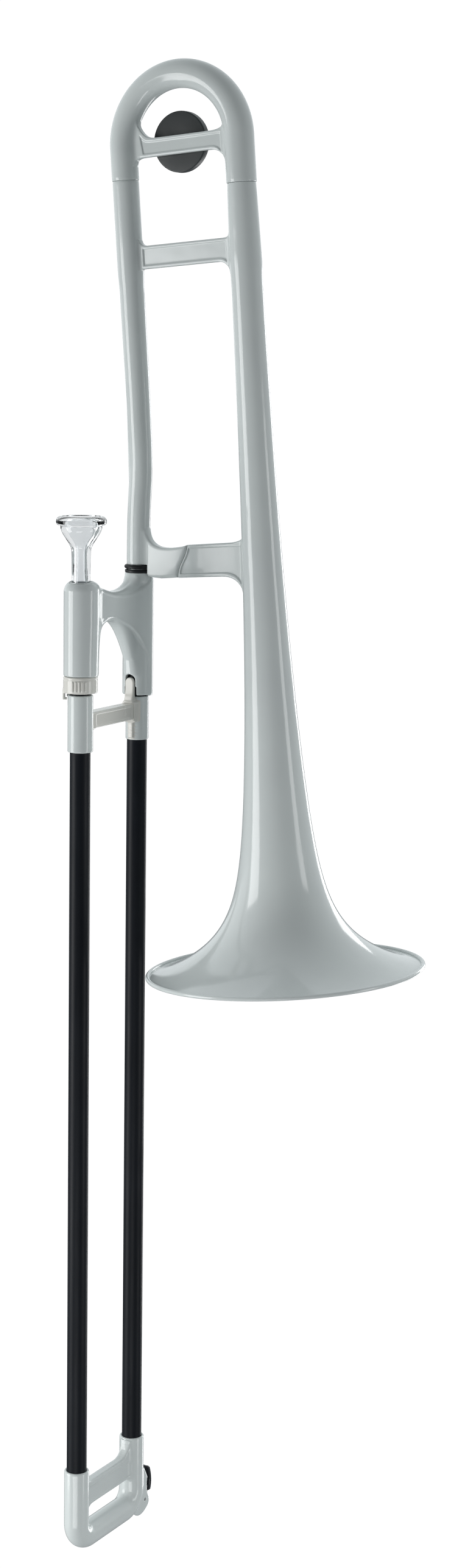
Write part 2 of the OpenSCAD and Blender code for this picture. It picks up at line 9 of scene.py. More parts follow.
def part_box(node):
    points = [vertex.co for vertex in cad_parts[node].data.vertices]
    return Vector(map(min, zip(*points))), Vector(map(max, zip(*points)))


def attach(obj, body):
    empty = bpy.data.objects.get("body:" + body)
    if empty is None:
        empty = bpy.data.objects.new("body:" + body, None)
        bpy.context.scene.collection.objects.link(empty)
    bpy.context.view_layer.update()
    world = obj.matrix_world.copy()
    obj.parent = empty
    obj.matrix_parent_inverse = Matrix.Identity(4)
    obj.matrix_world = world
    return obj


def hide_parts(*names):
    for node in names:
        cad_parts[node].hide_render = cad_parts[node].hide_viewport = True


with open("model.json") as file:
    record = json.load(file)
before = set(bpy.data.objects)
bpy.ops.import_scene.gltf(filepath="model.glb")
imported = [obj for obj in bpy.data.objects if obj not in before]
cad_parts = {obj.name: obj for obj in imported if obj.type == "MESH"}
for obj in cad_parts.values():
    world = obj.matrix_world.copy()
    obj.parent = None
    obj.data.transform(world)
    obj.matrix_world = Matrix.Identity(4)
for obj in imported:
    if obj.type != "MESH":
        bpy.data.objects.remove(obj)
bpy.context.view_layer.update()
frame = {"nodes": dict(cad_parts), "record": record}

# Lengths are millimetres in the model's own frame until a mesh is made, and metres after that.
MM = 0.001
record = frame["record"]
body_of_node = {n: b for b, nodes in record["behaviour"]["bodies"].items() for n in nodes}
joints = {j["name"]: j for j in record["behaviour"]["joints"]}


def span(node):
    """Lowest and highest corner of a CAD node, in millimetres"""
    low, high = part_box(node)
    return np.array(low) / MM, np.array(high) / MM


def new_object(name, data):
    """Object linked into the scene"""
    made = bpy.data.objects.new(name, data)
    bpy.context.scene.collection.objects.link(made)
    return made


# ---- Camera ----

CAMERA_AT = (1.04249, -1.63191, 0.19804)
CAMERA_AZIMUTH, CAMERA_DOWN, CAMERA_ROLL = 31.962, 7.351, 0.442
CAMERA_LENS, CAMERA_SENSOR = 61.41, 36.0
CAMERA_SHIFT = (0.06266, -0.06890)


def make_camera():
    """Stands the camera at the photograph's viewing angle"""
    turn, down, roll = (math.radians(a) for a in (CAMERA_AZIMUTH, CAMERA_DOWN, CAMERA_ROLL))
    ahead = Vector((-math.sin(turn) * math.cos(down), math.cos(turn) * math.cos(down),
                    -math.sin(down)))
    right = Vector((math.cos(turn), math.sin(turn), 0))
    up = right.cross(ahead)
    across = right * math.cos(roll) + up * math.sin(roll)
    upward = up * math.cos(roll) - right * math.sin(roll)
    data = bpy.data.cameras.new("camera")
    data.lens, data.sensor_width, data.sensor_fit = CAMERA_LENS, CAMERA_SENSOR, "AUTO"
    data.shift_x, data.shift_y = CAMERA_SHIFT
    data.clip_end = 100
    camera = new_object("camera", data)
    turned = Matrix((across, upward, -ahead)).transposed()
    camera.matrix_world = Matrix.Translation(CAMERA_AT) @ turned.to_4x4()
    bpy.context.scene.camera = camera


# ---- Materials ----

def add_node(tree, kind, output, inputs, operation=None):
    """New shader node with its sockets linked or set, given as one of its outputs"""
    made = tree.nodes.new("ShaderNode" + kind)
    if operation:
        made.operation = operation
    for socket, value in inputs.items():
        if isinstance(value, bpy.types.NodeSocket):
            tree.links.new(value, made.inputs[socket])
        else:
            made.inputs[socket].default_value = value
    return made.outputs[output]


def noise(tree, coords, scale, detail=3.0, stretch=(1, 1, 1)):
    """Noise texture in the piece's own coordinates, in features per metre"""
    place = add_node(tree, "Mapping", "Vector", {"Vector": coords, "Scale": stretch})
    return add_node(tree, "TexNoise", "Fac", {"Vector": place, "Scale": scale, "Detail": detail})


def spread(tree, value, low, high, start=0.35, end=0.65):
    """Maps a texture's middle range onto low to high"""
    return add_node(tree, "MapRange", "Result", {
        "Value": value, "From Min": start, "From Max": end, "To Min": low, "To Max": high})


def blend_colour(tree, factor, first, second):
    """Mixes two colours by a texture"""
    node = tree.nodes.new("ShaderNodeMix")
    node.data_type = "RGBA"
    node.inputs["A"].default_value = (*first, 1)
    node.inputs["B"].default_value = (*second, 1)
    tree.links.new(factor, node.inputs["Factor"])
    return node.outputs["Result"]


def material(name, colour, second, roughness, bumps=(), cloud=14, grain=260, stretch=(1, 1, 1),
             scuff=0.0, **shader):
    """Moulded or drawn surface: slow colour drift, fine roughness grain, scuffs and bump"""
    made = bpy.data.materials.new(name)
    made.use_nodes = True
    tree = made.node_tree
    surface = tree.nodes["Principled BSDF"]
    coords = tree.nodes.new("ShaderNodeTexCoord").outputs["Object"]
    drift = spread(tree, noise(tree, coords, cloud, 4.0), 0, 1)
    tree.links.new(blend_colour(tree, drift, colour, second), surface.inputs["Base Color"])
    low, high = roughness
    rough = spread(tree, noise(tree, coords, grain, 5.0, stretch), low, high, 0.3, 0.7)
    if scuff:
        worn = spread(tree, noise(tree, coords, 45, 8.0, (1, 1, 0.35)), 0, scuff, 0.62, 0.7)
        rough = add_node(tree, "Math", "Value", {0: rough, 1: worn}, "ADD")
    tree.links.new(rough, surface.inputs["Roughness"])
    normal = None
    for scale, strength, depth in bumps:
        height = noise(tree, coords, scale, 2.0, stretch)
        sockets = {"Strength": strength, "Distance": depth, "Height": height}
        if normal:
            sockets["Normal"] = normal
        normal = add_node(tree, "Bump", "Normal", sockets)
    if normal:
        tree.links.new(normal, surface.inputs["Normal"])
    for socket, value in shader.items():
        surface.inputs[socket.replace("_", " ")].default_value = value
    return made


WAVES = ((22, 0.5, 0.0012), (900, 0.12, 0.00006))
GRAIN = ((1400, 0.5, 0.00012), (420, 0.25, 0.0002))
FINE = ((2200, 0.25, 0.00006), (30, 0.3, 0.0006))
MATERIALS = {
    "white_gloss": material(
        "white_gloss", (0.70, 0.745, 0.735), (0.67, 0.71, 0.705), (0.10, 0.15), WAVES, scuff=0.10,
        IOR=1.5, Coat_Weight=0.15, Coat_Roughness=0.06),
    "cream_gloss": material(
        "cream_gloss", (0.78, 0.77, 0.72), (0.73, 0.715, 0.665), (0.12, 0.2), WAVES, scuff=0.12,
        IOR=1.52),
    "black_tube": material(
        "black_tube", (0.0055, 0.007, 0.010), (0.008, 0.010, 0.014), (0.36, 0.48),
        ((700, 0.35, 0.00008),), grain=500, stretch=(1, 1, 0.06), scuff=0.1, IOR=1.5,
        Specular_IOR_Level=0.15),
    "inner_tube": material(
        "inner_tube", (0.035, 0.037, 0.038), (0.045, 0.046, 0.047), (0.22, 0.34),
        ((700, 0.3, 0.00006),), grain=500, stretch=(1, 1, 0.06), IOR=1.5),
    "black_rubber": material(
        "black_rubber", (0.006, 0.007, 0.009), (0.010, 0.011, 0.013), (0.38, 0.52), GRAIN, IOR=1.5,
        Specular_IOR_Level=0.3),
    "clear_plastic": material(
        "clear_plastic", (0.80, 0.82, 0.83), (0.75, 0.77, 0.785), (0.015, 0.045),
        ((30, 0.2, 0.0004),), IOR=1.49, Transmission_Weight=1.0),
    "black_plastic": material(
        "black_plastic", (0.012, 0.014, 0.018), (0.02, 0.022, 0.026), (0.18, 0.3), WAVES,
        scuff=0.12, IOR=1.5),
    "charcoal_plastic": material(
        "charcoal_plastic", (0.018, 0.023, 0.024), (0.026, 0.031, 0.032), (0.34, 0.46), FINE,
        scuff=0.1, IOR=1.5),
    "pad_cork": material(
        "pad_cork", (0.55, 0.38, 0.22), (0.30, 0.19, 0.10), (0.7, 0.85), GRAIN, cloud=900, IOR=1.45),
    "steel": material(
        "steel", (0.60, 0.60, 0.59), (0.52, 0.52, 0.52), (0.18, 0.32), ((900, 0.2, 0.00005),),
        grain=900, stretch=(1, 1, 0.1), scuff=0.1, Metallic=1.0),
}


# ---- Meshes ----

def add_piece(name, points, faces, slot, *nodes, sharp=40):
    """Makes a piece from millimetre points; it stands for its nodes and rides on their body"""
    mesh = bpy.data.meshes.new(name)
    mesh.from_pydata((np.asarray(points, float) * MM).tolist(), [], faces)
    mesh.validate()
    mesh.shade_smooth()
    if sharp:
        mesh.set_sharp_from_angle(angle=math.radians(sharp))
    mesh.materials.append(MATERIALS[slot])
    piece = new_object(name, mesh)
    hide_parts(*nodes)
    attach(piece, body_of_node[nodes[0]])
    return piece


def soften(corners, closed=True, steps=5):
    """Rounds the corners of an outline given as (a, b, radius), and drops repeated points"""
    count = len(corners)
    made = []
    for i, (a, b, radius) in enumerate(corners):
        here = np.array([a, b], float)
        if radius == 0 or (not closed and i in (0, count - 1)):
            made.append(here)
            continue
        before = np.array(corners[i - 1][:2]) - here
        after = np.array(corners[(i + 1) % count][:2]) - here
        start = here + before * min(0.5, radius / np.hypot(*before))
        end = here + after * min(0.5, radius / np.hypot(*after))
        for k in range(steps + 1):
            t = k / steps
            made.append(start * (1 - t) ** 2 + here * 2 * t * (1 - t) + end * t * t)
    made = np.array(made)
    apart = np.linalg.norm(made - np.roll(made, 1, axis=0), axis=1) > 1e-5
    return made[apart]


def straight(x, y, z=0.0, axis=(0, 0, 1)):
    """Path for a turned piece: a line through (x, y, z)"""
    along = np.array(axis, float) / np.linalg.norm(axis)
    first = np.cross(along, (0, 1, 0))
    if np.linalg.norm(first) < 0.1:
        first = np.array([1.0, 0, 0])
    first /= np.linalg.norm(first)
    second = np.cross(along, first)
    origin = np.array([x, y, z], float)
    return lambda s: (origin + np.outer(s, along), first, second)


def turned(profile, path, segments=96):
    """Rings of radius r at distance s along a path, from a profile of (r, s)

    The profile is a closed loop, or runs from axis to axis."""
    profile = np.asarray(profile, float)
    r, s = profile[:, 0], profile[:, 1]
    centres, first, second = path(s)
    angle = np.arange(segments) * 2 * math.pi / segments
    first = np.broadcast_to(first, centres.shape)
    second = np.broadcast_to(second, centres.shape)
    rings = (centres[:, None, :]
             + (r[:, None] * np.cos(angle))[..., None] * first[:, None, :]
             + (r[:, None] * np.sin(angle))[..., None] * second[:, None, :])
    capped = r[0] < 1e-6 and r[-1] < 1e-6
    points, faces, starts = [], [], []
    for i in range(len(r)):
        starts.append(len(points))
        points.extend([centres[i]] if capped and i in (0, len(r) - 1) else rings[i])
    pairs = [(i, i + 1) for i in range(len(r) - 1)] + ([] if capped else [(len(r) - 1, 0)])
    for i, j in pairs:
        a, b = starts[i], starts[j]
        for k in range(segments):
            m = (k + 1) % segments
            if capped and i == 0:
                faces.append((a, b + k, b + m))
            elif capped and j == len(r) - 1:
                faces.append((a + m, a + k, b))
            else:
                faces.append((a + k, b + k, b + m, a + m))
    points = np.array(points)
    if volume(points, faces) < 0:
        faces = [f[::-1] for f in faces]
    return points, faces


def volume(points, faces):
    """Signed volume, which is negative when the faces look inwards"""
    total = 0.0
    for face in faces:
        a = points[face[0]]
        for k in range(1, len(face) - 1):
            total += a @ np.cross(points[face[k]], points[face[k + 1]])
    return total


# ---- Solid fields: negative inside, distances in millimetres ----

def smin(a, b, k):
    """Union of two fields with a fillet of about k"""
    h = np.clip(0.5 + 0.5 * (b - a) / k, 0, 1)
    return b * (1 - h) + a * h - k * h * (1 - h)


def smax(a, b, k):
    """Intersection of two fields with an edge softened over k"""
    return -smin(-a, -b, k)


def slab(c, low, high):
    """Layer between two values of one coordinate"""
    return np.abs(c - (low + high) / 2) - (high - low) / 2


def rod(a, b, c, radius, low, high, edge=1.0):
    """Round bar along c with softened ends"""
    return smax(np.hypot(a, b) - radius, slab(c, low, high), edge)


def block(a, b, c, half, edge=1.0):
    """Box about the origin with softened edges"""
    return smax(smax(np.abs(a) - half[0], np.abs(b) - half[1], edge), np.abs(c) - half[2], edge)


def outline(points, a, b):
    """Signed distance to a polygon"""
    best, sign = np.inf, 1.0
    for (a0, b0), (a1, b1) in zip(points, list(points[1:]) + [points[0]]):
        ea, eb = a1 - a0, b1 - b0
        if ea == 0 and eb == 0:
            continue
        pa, pb = a - a0, b - b0
        t = np.clip((pa * ea + pb * eb) / (ea * ea + eb * eb), 0, 1)
        best = np.minimum(best, (pa - ea * t) ** 2 + (pb - eb * t) ** 2)
        above, under, left = b >= b0, b < b1, ea * pb > eb * pa
        flip = (above & under & left) | (~above & ~under & ~left)
        sign = np.where(flip, -sign, sign)
    return sign * np.sqrt(best)


def curve(a, b, c, d, n=10):
    """Points on a cubic curve from a to d, steered by b and c"""
    t = np.linspace(0, 1, n + 1)[:, None]
    a, b, c, d = (np.array(p, float) for p in (a, b, c, d))
    made = (1 - t) ** 3 * a + 3 * t * (1 - t) ** 2 * b + 3 * t * t * (1 - t) * c + t ** 3 * d
    return [tuple(p) for p in made]


def curve_at(x, y, a, b, c, d, n=10):
    """Curve whose four points are measured from the corner (x, y)"""
    return curve(*[(x + p, y + q) for p, q in (a, b, c, d)], n)


def ease(value, start, end):
    """Smooth step from 0 to 1 between start and end"""
    t = np.clip((value - start) / (end - start), 0, 1)
    return t * t * (3 - 2 * t)


def saddle(bar, tube, fillet=3.0):
    """Bar whose ends spread onto a tube in a fillet that ends just under its skin"""
    spread_out = smin(bar, tube, fillet) + 0.05
    return np.maximum(np.maximum(spread_out, -(tube + 1.3)), bar - fillet - 0.4)


CORNERS = [(i, j, k) for i in (0, 1) for j in (0, 1) for k in (0, 1)]
EDGES = [(p, q) for p in range(8) for q in range(p + 1, 8)
         if sum(abs(u - v) for u, v in zip(CORNERS[p], CORNERS[q])) == 1]


def crossing_cells(d, inside):
    """Cells that the surface runs through, and its middle in each, in cells from the corner"""
    cells = tuple(n - 1 for n in d.shape)
    count = np.zeros(cells, np.int8)
    for i, j, k in CORNERS:
        count += inside[i:i + cells[0], j:j + cells[1], k:k + cells[2]]
    at = np.argwhere((count > 0) & (count < 8))
    values = np.stack([d[at[:, 0] + i, at[:, 1] + j, at[:, 2] + k] for i, j, k in CORNERS], 1)
    total, hits = np.zeros((len(at), 3)), np.zeros(len(at))
    for p, q in EDGES:
        a, b = values[:, p], values[:, q]
        cross = (a < 0) != (b < 0)
        t = np.where(cross, a / np.where(cross, a - b, 1), 0)
        point = np.array(CORNERS[p]) + t[:, None] * (np.array(CORNERS[q]) - CORNERS[p])
        total += np.where(cross[:, None], point, 0)
        hits += cross
    return at, total / hits[:, None]


def crossing_quads(inside, number):
    """One quad round every grid edge whose ends lie on different sides of the surface"""
    faces = []
    for axis in range(3):
        u, v = np.roll(np.eye(3, dtype=int), -axis - 1, axis=0)[:2]
        near = [slice(1, -1)] * 3
        near[axis] = slice(0, -1)
        far = list(near)
        far[axis] = slice(1, None)
        first, second = inside[tuple(near)], inside[tuple(far)]
        spots = np.argwhere(first != second)
        grows = first[tuple(spots.T)]
        spots += u + v
        quad = np.stack([number[tuple((spots - a * u - b * v).T)]
                         for a, b in ((0, 0), (1, 0), (1, 1), (0, 1))], 1)
        quad[~grows] = quad[~grows, ::-1]
        faces.append(quad)
    return np.concatenate(faces)


def skin(field, low, high, step):
    """Closed mesh of quads where a field crosses zero, drawn tight onto the field"""
    axes = [np.arange(a - 1.5 * step, b + 2.5 * step, step) for a, b in zip(low, high)]
    shape = tuple(len(a) for a in axes)
    grid = np.meshgrid(*axes, indexing="ij", sparse=True)
    d = np.ascontiguousarray(np.broadcast_to(field(*grid), shape))
    inside = d < 0
    at, offset = crossing_cells(d, inside)
    number = np.full(tuple(n - 1 for n in shape), -1)
    number[tuple(at.T)] = np.arange(len(at))
    start = np.array([a[0] for a in axes]) + (at + offset) * step
    points = start.copy()
    for _ in range(4):
        points -= np.clip(pull(field, points), -0.4 * step, 0.4 * step)
    points = start + np.clip(points - start, -0.7 * step, 0.7 * step)
    return points, crossing_quads(inside, number).tolist()


def pull(field, points, reach=0.04):
    """Step that brings points onto the field's surface"""
    x, y, z = points.T
    value = field(x, y, z)
    slope = np.stack([
        field(x + reach, y, z) - field(x - reach, y, z),
        field(x, y + reach, z) - field(x, y - reach, z),
        field(x, y, z + reach) - field(x, y, z - reach)], 1) / (2 * reach)
    steep = np.maximum((slope ** 2).sum(1), 0.25)
    return slope * (value / steep)[:, None]


def moulded(name, field, slot, node, step, below=0, above=0, box=None, place=None):
    """Piece whose surface is a field's, sought in its node's box with a margin or in its own
    box; place turns local points into the model's frame"""
    low, high = box or span(node)
    step *= 1
    points, faces = skin(field, np.array(low) - below, np.array(high) + above, step)
    if place:
        points = place(points)
    return add_piece(name, points, faces, slot, node, sharp=0)


# ---- Places taken from the frame ----

def middle(node):
    low, high = span(node)
    return (low + high) / 2


UPPER_Y, LOWER_Y = middle("outer_tube_upper")[1], middle("outer_tube_lower")[1]
(_, tube_near, TUBE_LOW), (_, tube_far, TUBE_HIGH) = span("outer_tube_upper")
TUBE_R = (tube_far - tube_near) / 2
TUBE_BORE = TUBE_R - 0.45
AIR_R = 6.8
GRIP_LOW, GRIP_HIGH = (span("hand_grip")[i][2] for i in (0, 1))
DOME_TOP = span("mouthpiece_receiver")[1][2] + 0.4
# The lock ring's lower edge is above its hook, which is the node's lowest point
LOCK_LOW, LOCK_HIGH = -59.9, span("lock_ring")[1][2]
HOOK_LOW = span("lock_ring")[0][2]
SLEEVE_LOW = span("slide_sleeve_upper")[0][2]
SLEEVE_TOPS = [span("slide_sleeve_" + side)[1][2] for side in ("upper", "lower")]
BRACE_HIGH = span("slide_brace")[1][2]
BRACE_LOW = BRACE_HIGH - 12  # The bar is 12 mm deep
BOW_HIGH = span("slide_bow")[1][2]
KEY_Y, KEY_Z = middle("water_key_pin")[1:]
NECK_LOW = span("neck")[0][2]
BAR_SEAM_Y = span("slide_brace")[1][1]

# The bell section's own frame leans with the tuning slide's axis
AXIS = np.array(joints["tuning_pull"]["axis"], float)
AXIS /= np.linalg.norm(AXIS)
ACROSS = np.array([AXIS[2], 0, -AXIS[0]])
BEND = np.array([0, LOWER_Y, 136.6])
LEG_GAP = 96.6
NECK_SEAM, BELL_SEAM = 169.9, 159.1
BELL_LENGTH = 567.0
BELL_RIM = BELL_SEAM - BELL_LENGTH
BELL_R = 101.6
BOW_CENTRE = 192.9


def leaning(points):
    """Points (across, y, along) of the bell section's frame, in the model's frame"""
    points = np.asarray(points, float)
    return (BEND + points[:, :1] * ACROSS + points[:, 1:2] * (0, 1, 0) + points[:, 2:] * AXIS)


def leaning_line(across):
    start = leaning([[across, 0, 0]])[0]
    return straight(*start, axis=AXIS)


# ---- Hand grip ----

RECEIVER_R, BARREL_R, COLLAR_R = 12.2, 11.5, 9.9
STUB_R, STUB_HIGH = 10.1, -47.6
BORE_R, SEAT_Z = 8.2, -24.0
PRONG_R, NOTCH_HIGH = 3.7, -53.5
WEB_HALF, DOME_ROUND = 7.5, 7


def web_points():
    low = -46
    return (
        [(UPPER_Y, low), (UPPER_Y + RECEIVER_R - 1.5, low)]
        + curve((UPPER_Y + RECEIVER_R - 0.8, -34), (-24.5, -17), (-16.5, -10.8), (-6.4, -10.8))
        + curve((-6.4, -10.8), (7, -10.8), (15.5, -23), (LOWER_Y - BARREL_R - 2.6, -43), 12)
        + [(LOWER_Y - BARREL_R + 0.5, -54), (LOWER_Y, -54), (LOWER_Y, 16.5)]
        + curve((LOWER_Y - 9.4, 18.5), (25.6, 14.5), (19, 10.1), (4.7, 10.1))
        + curve((4.7, 10.1), (-8, 10.1), (-14, 14.4), (UPPER_Y + 10.5, 16.6))
        + [(UPPER_Y, 16.6)])


def cheek_points():
    """Flat side of the grip between its two swept edges"""
    far = LOWER_Y + 14
    return (
        [(UPPER_Y, -30), (UPPER_Y + RECEIVER_R - 1.5, -30)]
        + curve((UPPER_Y + RECEIVER_R - 1, -17), (-25, -11), (-23, -7.6), (-18, -7.3), 6)
        + curve((-16, -7.2), (-2, -5), (36, -21), (LOWER_Y, -52), 16)
        + [(LOWER_Y, -90), (far, -90), (far, 22), (LOWER_Y + 1, 22)]
        + curve((LOWER_Y - 0.5, 16), (26, 3), (-10, 5), (-28, 15.7), 14)
        + [(UPPER_Y, 16)])


WEB, CHEEK = web_points(), cheek_points()


def grip_field(x, y, z):
    """Two barrels joined by the web, with the bores and the brace's notch"""
    upper, lower = y - UPPER_Y, y - LOWER_Y
    out = np.maximum(np.hypot(x, upper) - RECEIVER_R + DOME_ROUND, 0)
    dome = np.hypot(out, np.maximum(z - DOME_TOP + DOME_ROUND, 0)) - DOME_ROUND
    dome = smax(dome, STUB_HIGH - z, 0.8)
    # Where the flat side doesn't cover it, the barrel is a little slimmer
    cheek = outline(CHEEK, y, z)
    bare = ease(cheek, -0.7, 0.5)
    radius = (BARREL_R - 1.4 * (1 - bare) * ease(z, GRIP_HIGH - 5, GRIP_HIGH - 1.5)
              - bare * (0.45 + (BARREL_R - 0.45 - COLLAR_R) * ease(z, -4, 4)))
    barrel = smax(np.hypot(x, lower) - radius, slab(z, GRIP_LOW, GRIP_HIGH), 1.4)
    # The web thins downwards
    web = smax(outline(WEB, y, z), np.abs(x) - WEB_HALF - 0.06 * np.clip(z + 10, -30, 0), 6)
    thick = WEB_HALF + 0.1 + 3.0 * ease(y, -4, LOWER_Y - 6)
    plate = smax(smax(cheek, np.abs(x) - thick, 2.0), lower - 4, 1.5)
    d = smin(smin(web, dome, 9), barrel, 3.5)
    d = smin(d, plate, 1.4)
    d = smin(d, rod(x, upper, z, STUB_R, -59, STUB_HIGH + 3, 0.8), 0.3)
    # Fine parting line round the moulding
    d = d + 0.10 * np.exp(-(x / 0.35) ** 2)
    bores = np.minimum.reduce(np.broadcast_arrays(
        rod(x, upper, z, BORE_R, -80, SEAT_Z, 0.4), rod(x, upper, z, AIR_R, -40, -10, 0.2),
        rod(x, upper, z, 8.0, -16, 30, 0.2), rod(x, lower, z, BORE_R, -90, SEAT_Z, 0.4),
        rod(x, lower, z, AIR_R, -40, 4, 0.2), rod(x, lower, z, 7.5, 0, 40, 0.2)))
    slot = PRONG_R + 0.5
    keyhole = np.minimum(
        block(x, lower + BARREL_R, z - GRIP_LOW + 2, (slot, 4, NOTCH_HIGH - slot - GRIP_LOW + 2), 0.5),
        rod(x, z - NOTCH_HIGH + slot, lower + BARREL_R, slot, -4, 4, 0.5))
    # The notch is wider towards its open end
    mouth = block(x, lower + BARREL_R, z - GRIP_LOW + 2, (slot + 0.7, 4, 8.5), 0.8)
    return smax(d, -np.minimum(smin(keyhole, mouth, 0.6), bores), 0.7)


def build_grip():
    moulded("hand_grip_moulding", grip_field, "white_gloss", "hand_grip", 0.62)
    lower = straight(0, LOWER_Y)
    low, high = (v[2] for v in span("neck_washer"))
    washer = soften([(9.8, low, 0.5), (9.8, high, 0.8), (7.5, high, 0.3), (7.5, low, 0.3)])
    add_piece("neck_washer_ring", *turned(washer, lower), "black_rubber", "neck_washer")
    low, high = (v[2] for v in span("neck_o_ring"))
    turn = np.linspace(0, 2 * math.pi, 24, endpoint=False)
    ring_r, wire_r = 8.8, 1.5
    section = np.stack([ring_r + wire_r * np.cos(turn), (low + high) / 2 + wire_r * np.sin(turn)], 1)
    add_piece("neck_o_ring_band", *turned(section, lower), "black_rubber", "neck_o_ring")


# ---- Slide lock and mouthpiece ----

LOCK_R = 12.4
HOOK_ANGLE, CATCH_TURN = math.radians(212), math.radians(30)
RIB_CENTRE, RIB_PITCH, RIB_COUNT = math.radians(-62), math.radians(11), 5


def spin(x, y, angle):
    """Turns coordinates so that angle becomes the first axis"""
    return (x * math.cos(angle) + y * math.sin(angle), y * math.cos(angle) - x * math.sin(angle))


def lock_field(x, y, z):
    """Ring with grip ribs, and the hook that catches the sleeve"""
    y = y - UPPER_Y
    d = rod(x, y, z, LOCK_R, LOCK_LOW, LOCK_HIGH, 1.2)
    # Thin lip along the top and bottom edges
    d = d + 0.28 * np.exp(-((z - LOCK_HIGH + 1.9) / 0.35) ** 2)
    for i in range(RIB_COUNT):
        a, b = spin(x, y, RIB_CENTRE + (i - (RIB_COUNT - 1) / 2) * RIB_PITCH)
        d = smin(d, block(a - LOCK_R, b, z - LOCK_LOW - 5.4, (0.75, 0.62, 3.6), 0.5), 0.35)
    a, b = spin(x, y, HOOK_ANGLE)
    arm = block(a - 11.9, b, z - (HOOK_LOW + LOCK_LOW + 3) / 2,
                (0.95, 2.6, (LOCK_LOW + 3 - HOOK_LOW) / 2), 0.7)
    toe = block(a - 10.7, b, z - HOOK_LOW - 0.65, (1.0, 2.6, 0.65), 0.4)
    d = smin(d, np.minimum(arm, toe), 1.0)
    hole = np.minimum(rod(x, y, z, STUB_R + 0.06, -59.1, 0, 0.1),
                      rod(x, y, z, 9.8, -90, -58, 0.2))
    return smax(d, -hole, 0.3)


def build_lock():
    moulded("slide_lock_ring", lock_field, "cream_gloss", "lock_ring", 0.42)


def build_mouthpiece():
    """One closed profile: shank, cup, rim, inside of the cup, bore"""
    low, high = (v[2] for v in span("mouthpiece"))
    rim = 18.3
    profile = soften([
        (5.9, low, 0.2), (6.7, DOME_TOP - 2, 1), (6.9, high - 27, 6), (7.2, high - 22.0, 6),
        (12.8, high - 13.6, 7), (14.9, high - 9.4, 3), (14.9, high - 6.4, 1.2),
        (rim - 0.4, high - 5.9, 1.1), (rim, high - 2.2, 1.8), (rim - 2.2, high, 1.8),
        (13.6, high, 1.8), (12.4, high - 3.2, 2.5), (11.6, high - 7, 5), (8.9, high - 12.8, 12),
        (4.4, high - 19.2, 8), (3.15, high - 23.5, 4), (3.15, high - 33, 4), (5, low, 0.2)], steps=7)
    add_piece("clear_mouthpiece", *turned(profile, straight(0, UPPER_Y), 128), "clear_plastic",
              "mouthpiece", sharp=50)


# ---- Outer slide ----

SLEEVE_R = (9.2, 8.5)


def sleeve_field(side):
    """Sleeve on the mouthpiece side (0) or the neck side (1)"""
    centre = (UPPER_Y, LOWER_Y)[side]
    radius, top = SLEEVE_R[side], SLEEVE_TOPS[side]

    def field(x, y, z):
        y = y - centre
        d = rod(x, y, z, radius, SLEEVE_LOW, top, 1.2)
        if side == 0:
            a, b = spin(x, y, HOOK_ANGLE - CATCH_TURN)
            d = smin(d, block(a - radius - 0.2, b, z - top + 0.75, (0.8, 2.6, 0.75), 0.4), 0.6)
        else:
            # Low ridges that run round the sleeve under the clamp
            wave = 0.16 * np.cos(2 * math.pi * (z - SLEEVE_LOW) / 2.4)
            band = (np.clip((BRACE_LOW - 3.2 - z) / 1.5, 0, 1)
                    * np.clip((z - SLEEVE_LOW - 2) / 1.5, 0, 1))
            face = np.exp(-((np.arctan2(x, -y)) / 0.5) ** 2)
            d = d - wave * band * face
        return smax(d, TUBE_R - 0.02 - np.hypot(x, y), 0.1)
    return field


def build_tubes():
    for side, name in enumerate(("upper", "lower")):
        y = (UPPER_Y, LOWER_Y)[side]
        tube = soften([(TUBE_R, TUBE_LOW, 0.15), (TUBE_R, TUBE_HIGH, 0.2),
                       (TUBE_BORE, TUBE_HIGH, 0.15), (TUBE_BORE, TUBE_LOW, 0.1)])
        add_piece("composite_tube_" + name, *turned(tube, straight(0, y)), "black_tube",
                  "outer_tube_" + name)
        moulded("sleeve_" + name, sleeve_field(side), "white_gloss", "slide_sleeve_" + name, 0.5)


def bar_field(x, y, z):
    """Cross bar with a sunk panel, spread onto the upper sleeve"""
    half = 5.0
    upper = np.hypot(x, y - UPPER_Y) - SLEEVE_R[0]
    bar = smax(smax(slab(z, BRACE_LOW, BRACE_HIGH), np.abs(x) - half, 1.6),
               slab(y, UPPER_Y + 5, BAR_SEAM_Y - 0.02), 0.5)
    fillet = outline([(UPPER_Y + 5, BRACE_LOW - 4), (UPPER_Y + 10.4, BRACE_LOW - 3.2),
                      (UPPER_Y + 13, BRACE_LOW), (UPPER_Y + 13, BRACE_LOW + 4),
                      (UPPER_Y + 5, BRACE_LOW + 4)], y, z)
    bar = smin(bar, smax(fillet, np.abs(x) - half + 1, 1.4), 2)
    panel = smax(slab(y, UPPER_Y + 14, BAR_SEAM_Y - 3), slab(z, BRACE_LOW + 2.2, BRACE_HIGH - 2.2), 1)
    d = saddle(bar, upper, 2.2)
    return smax(d, -smax(panel, half - 0.45 - np.abs(x), 0.4), 0.6)


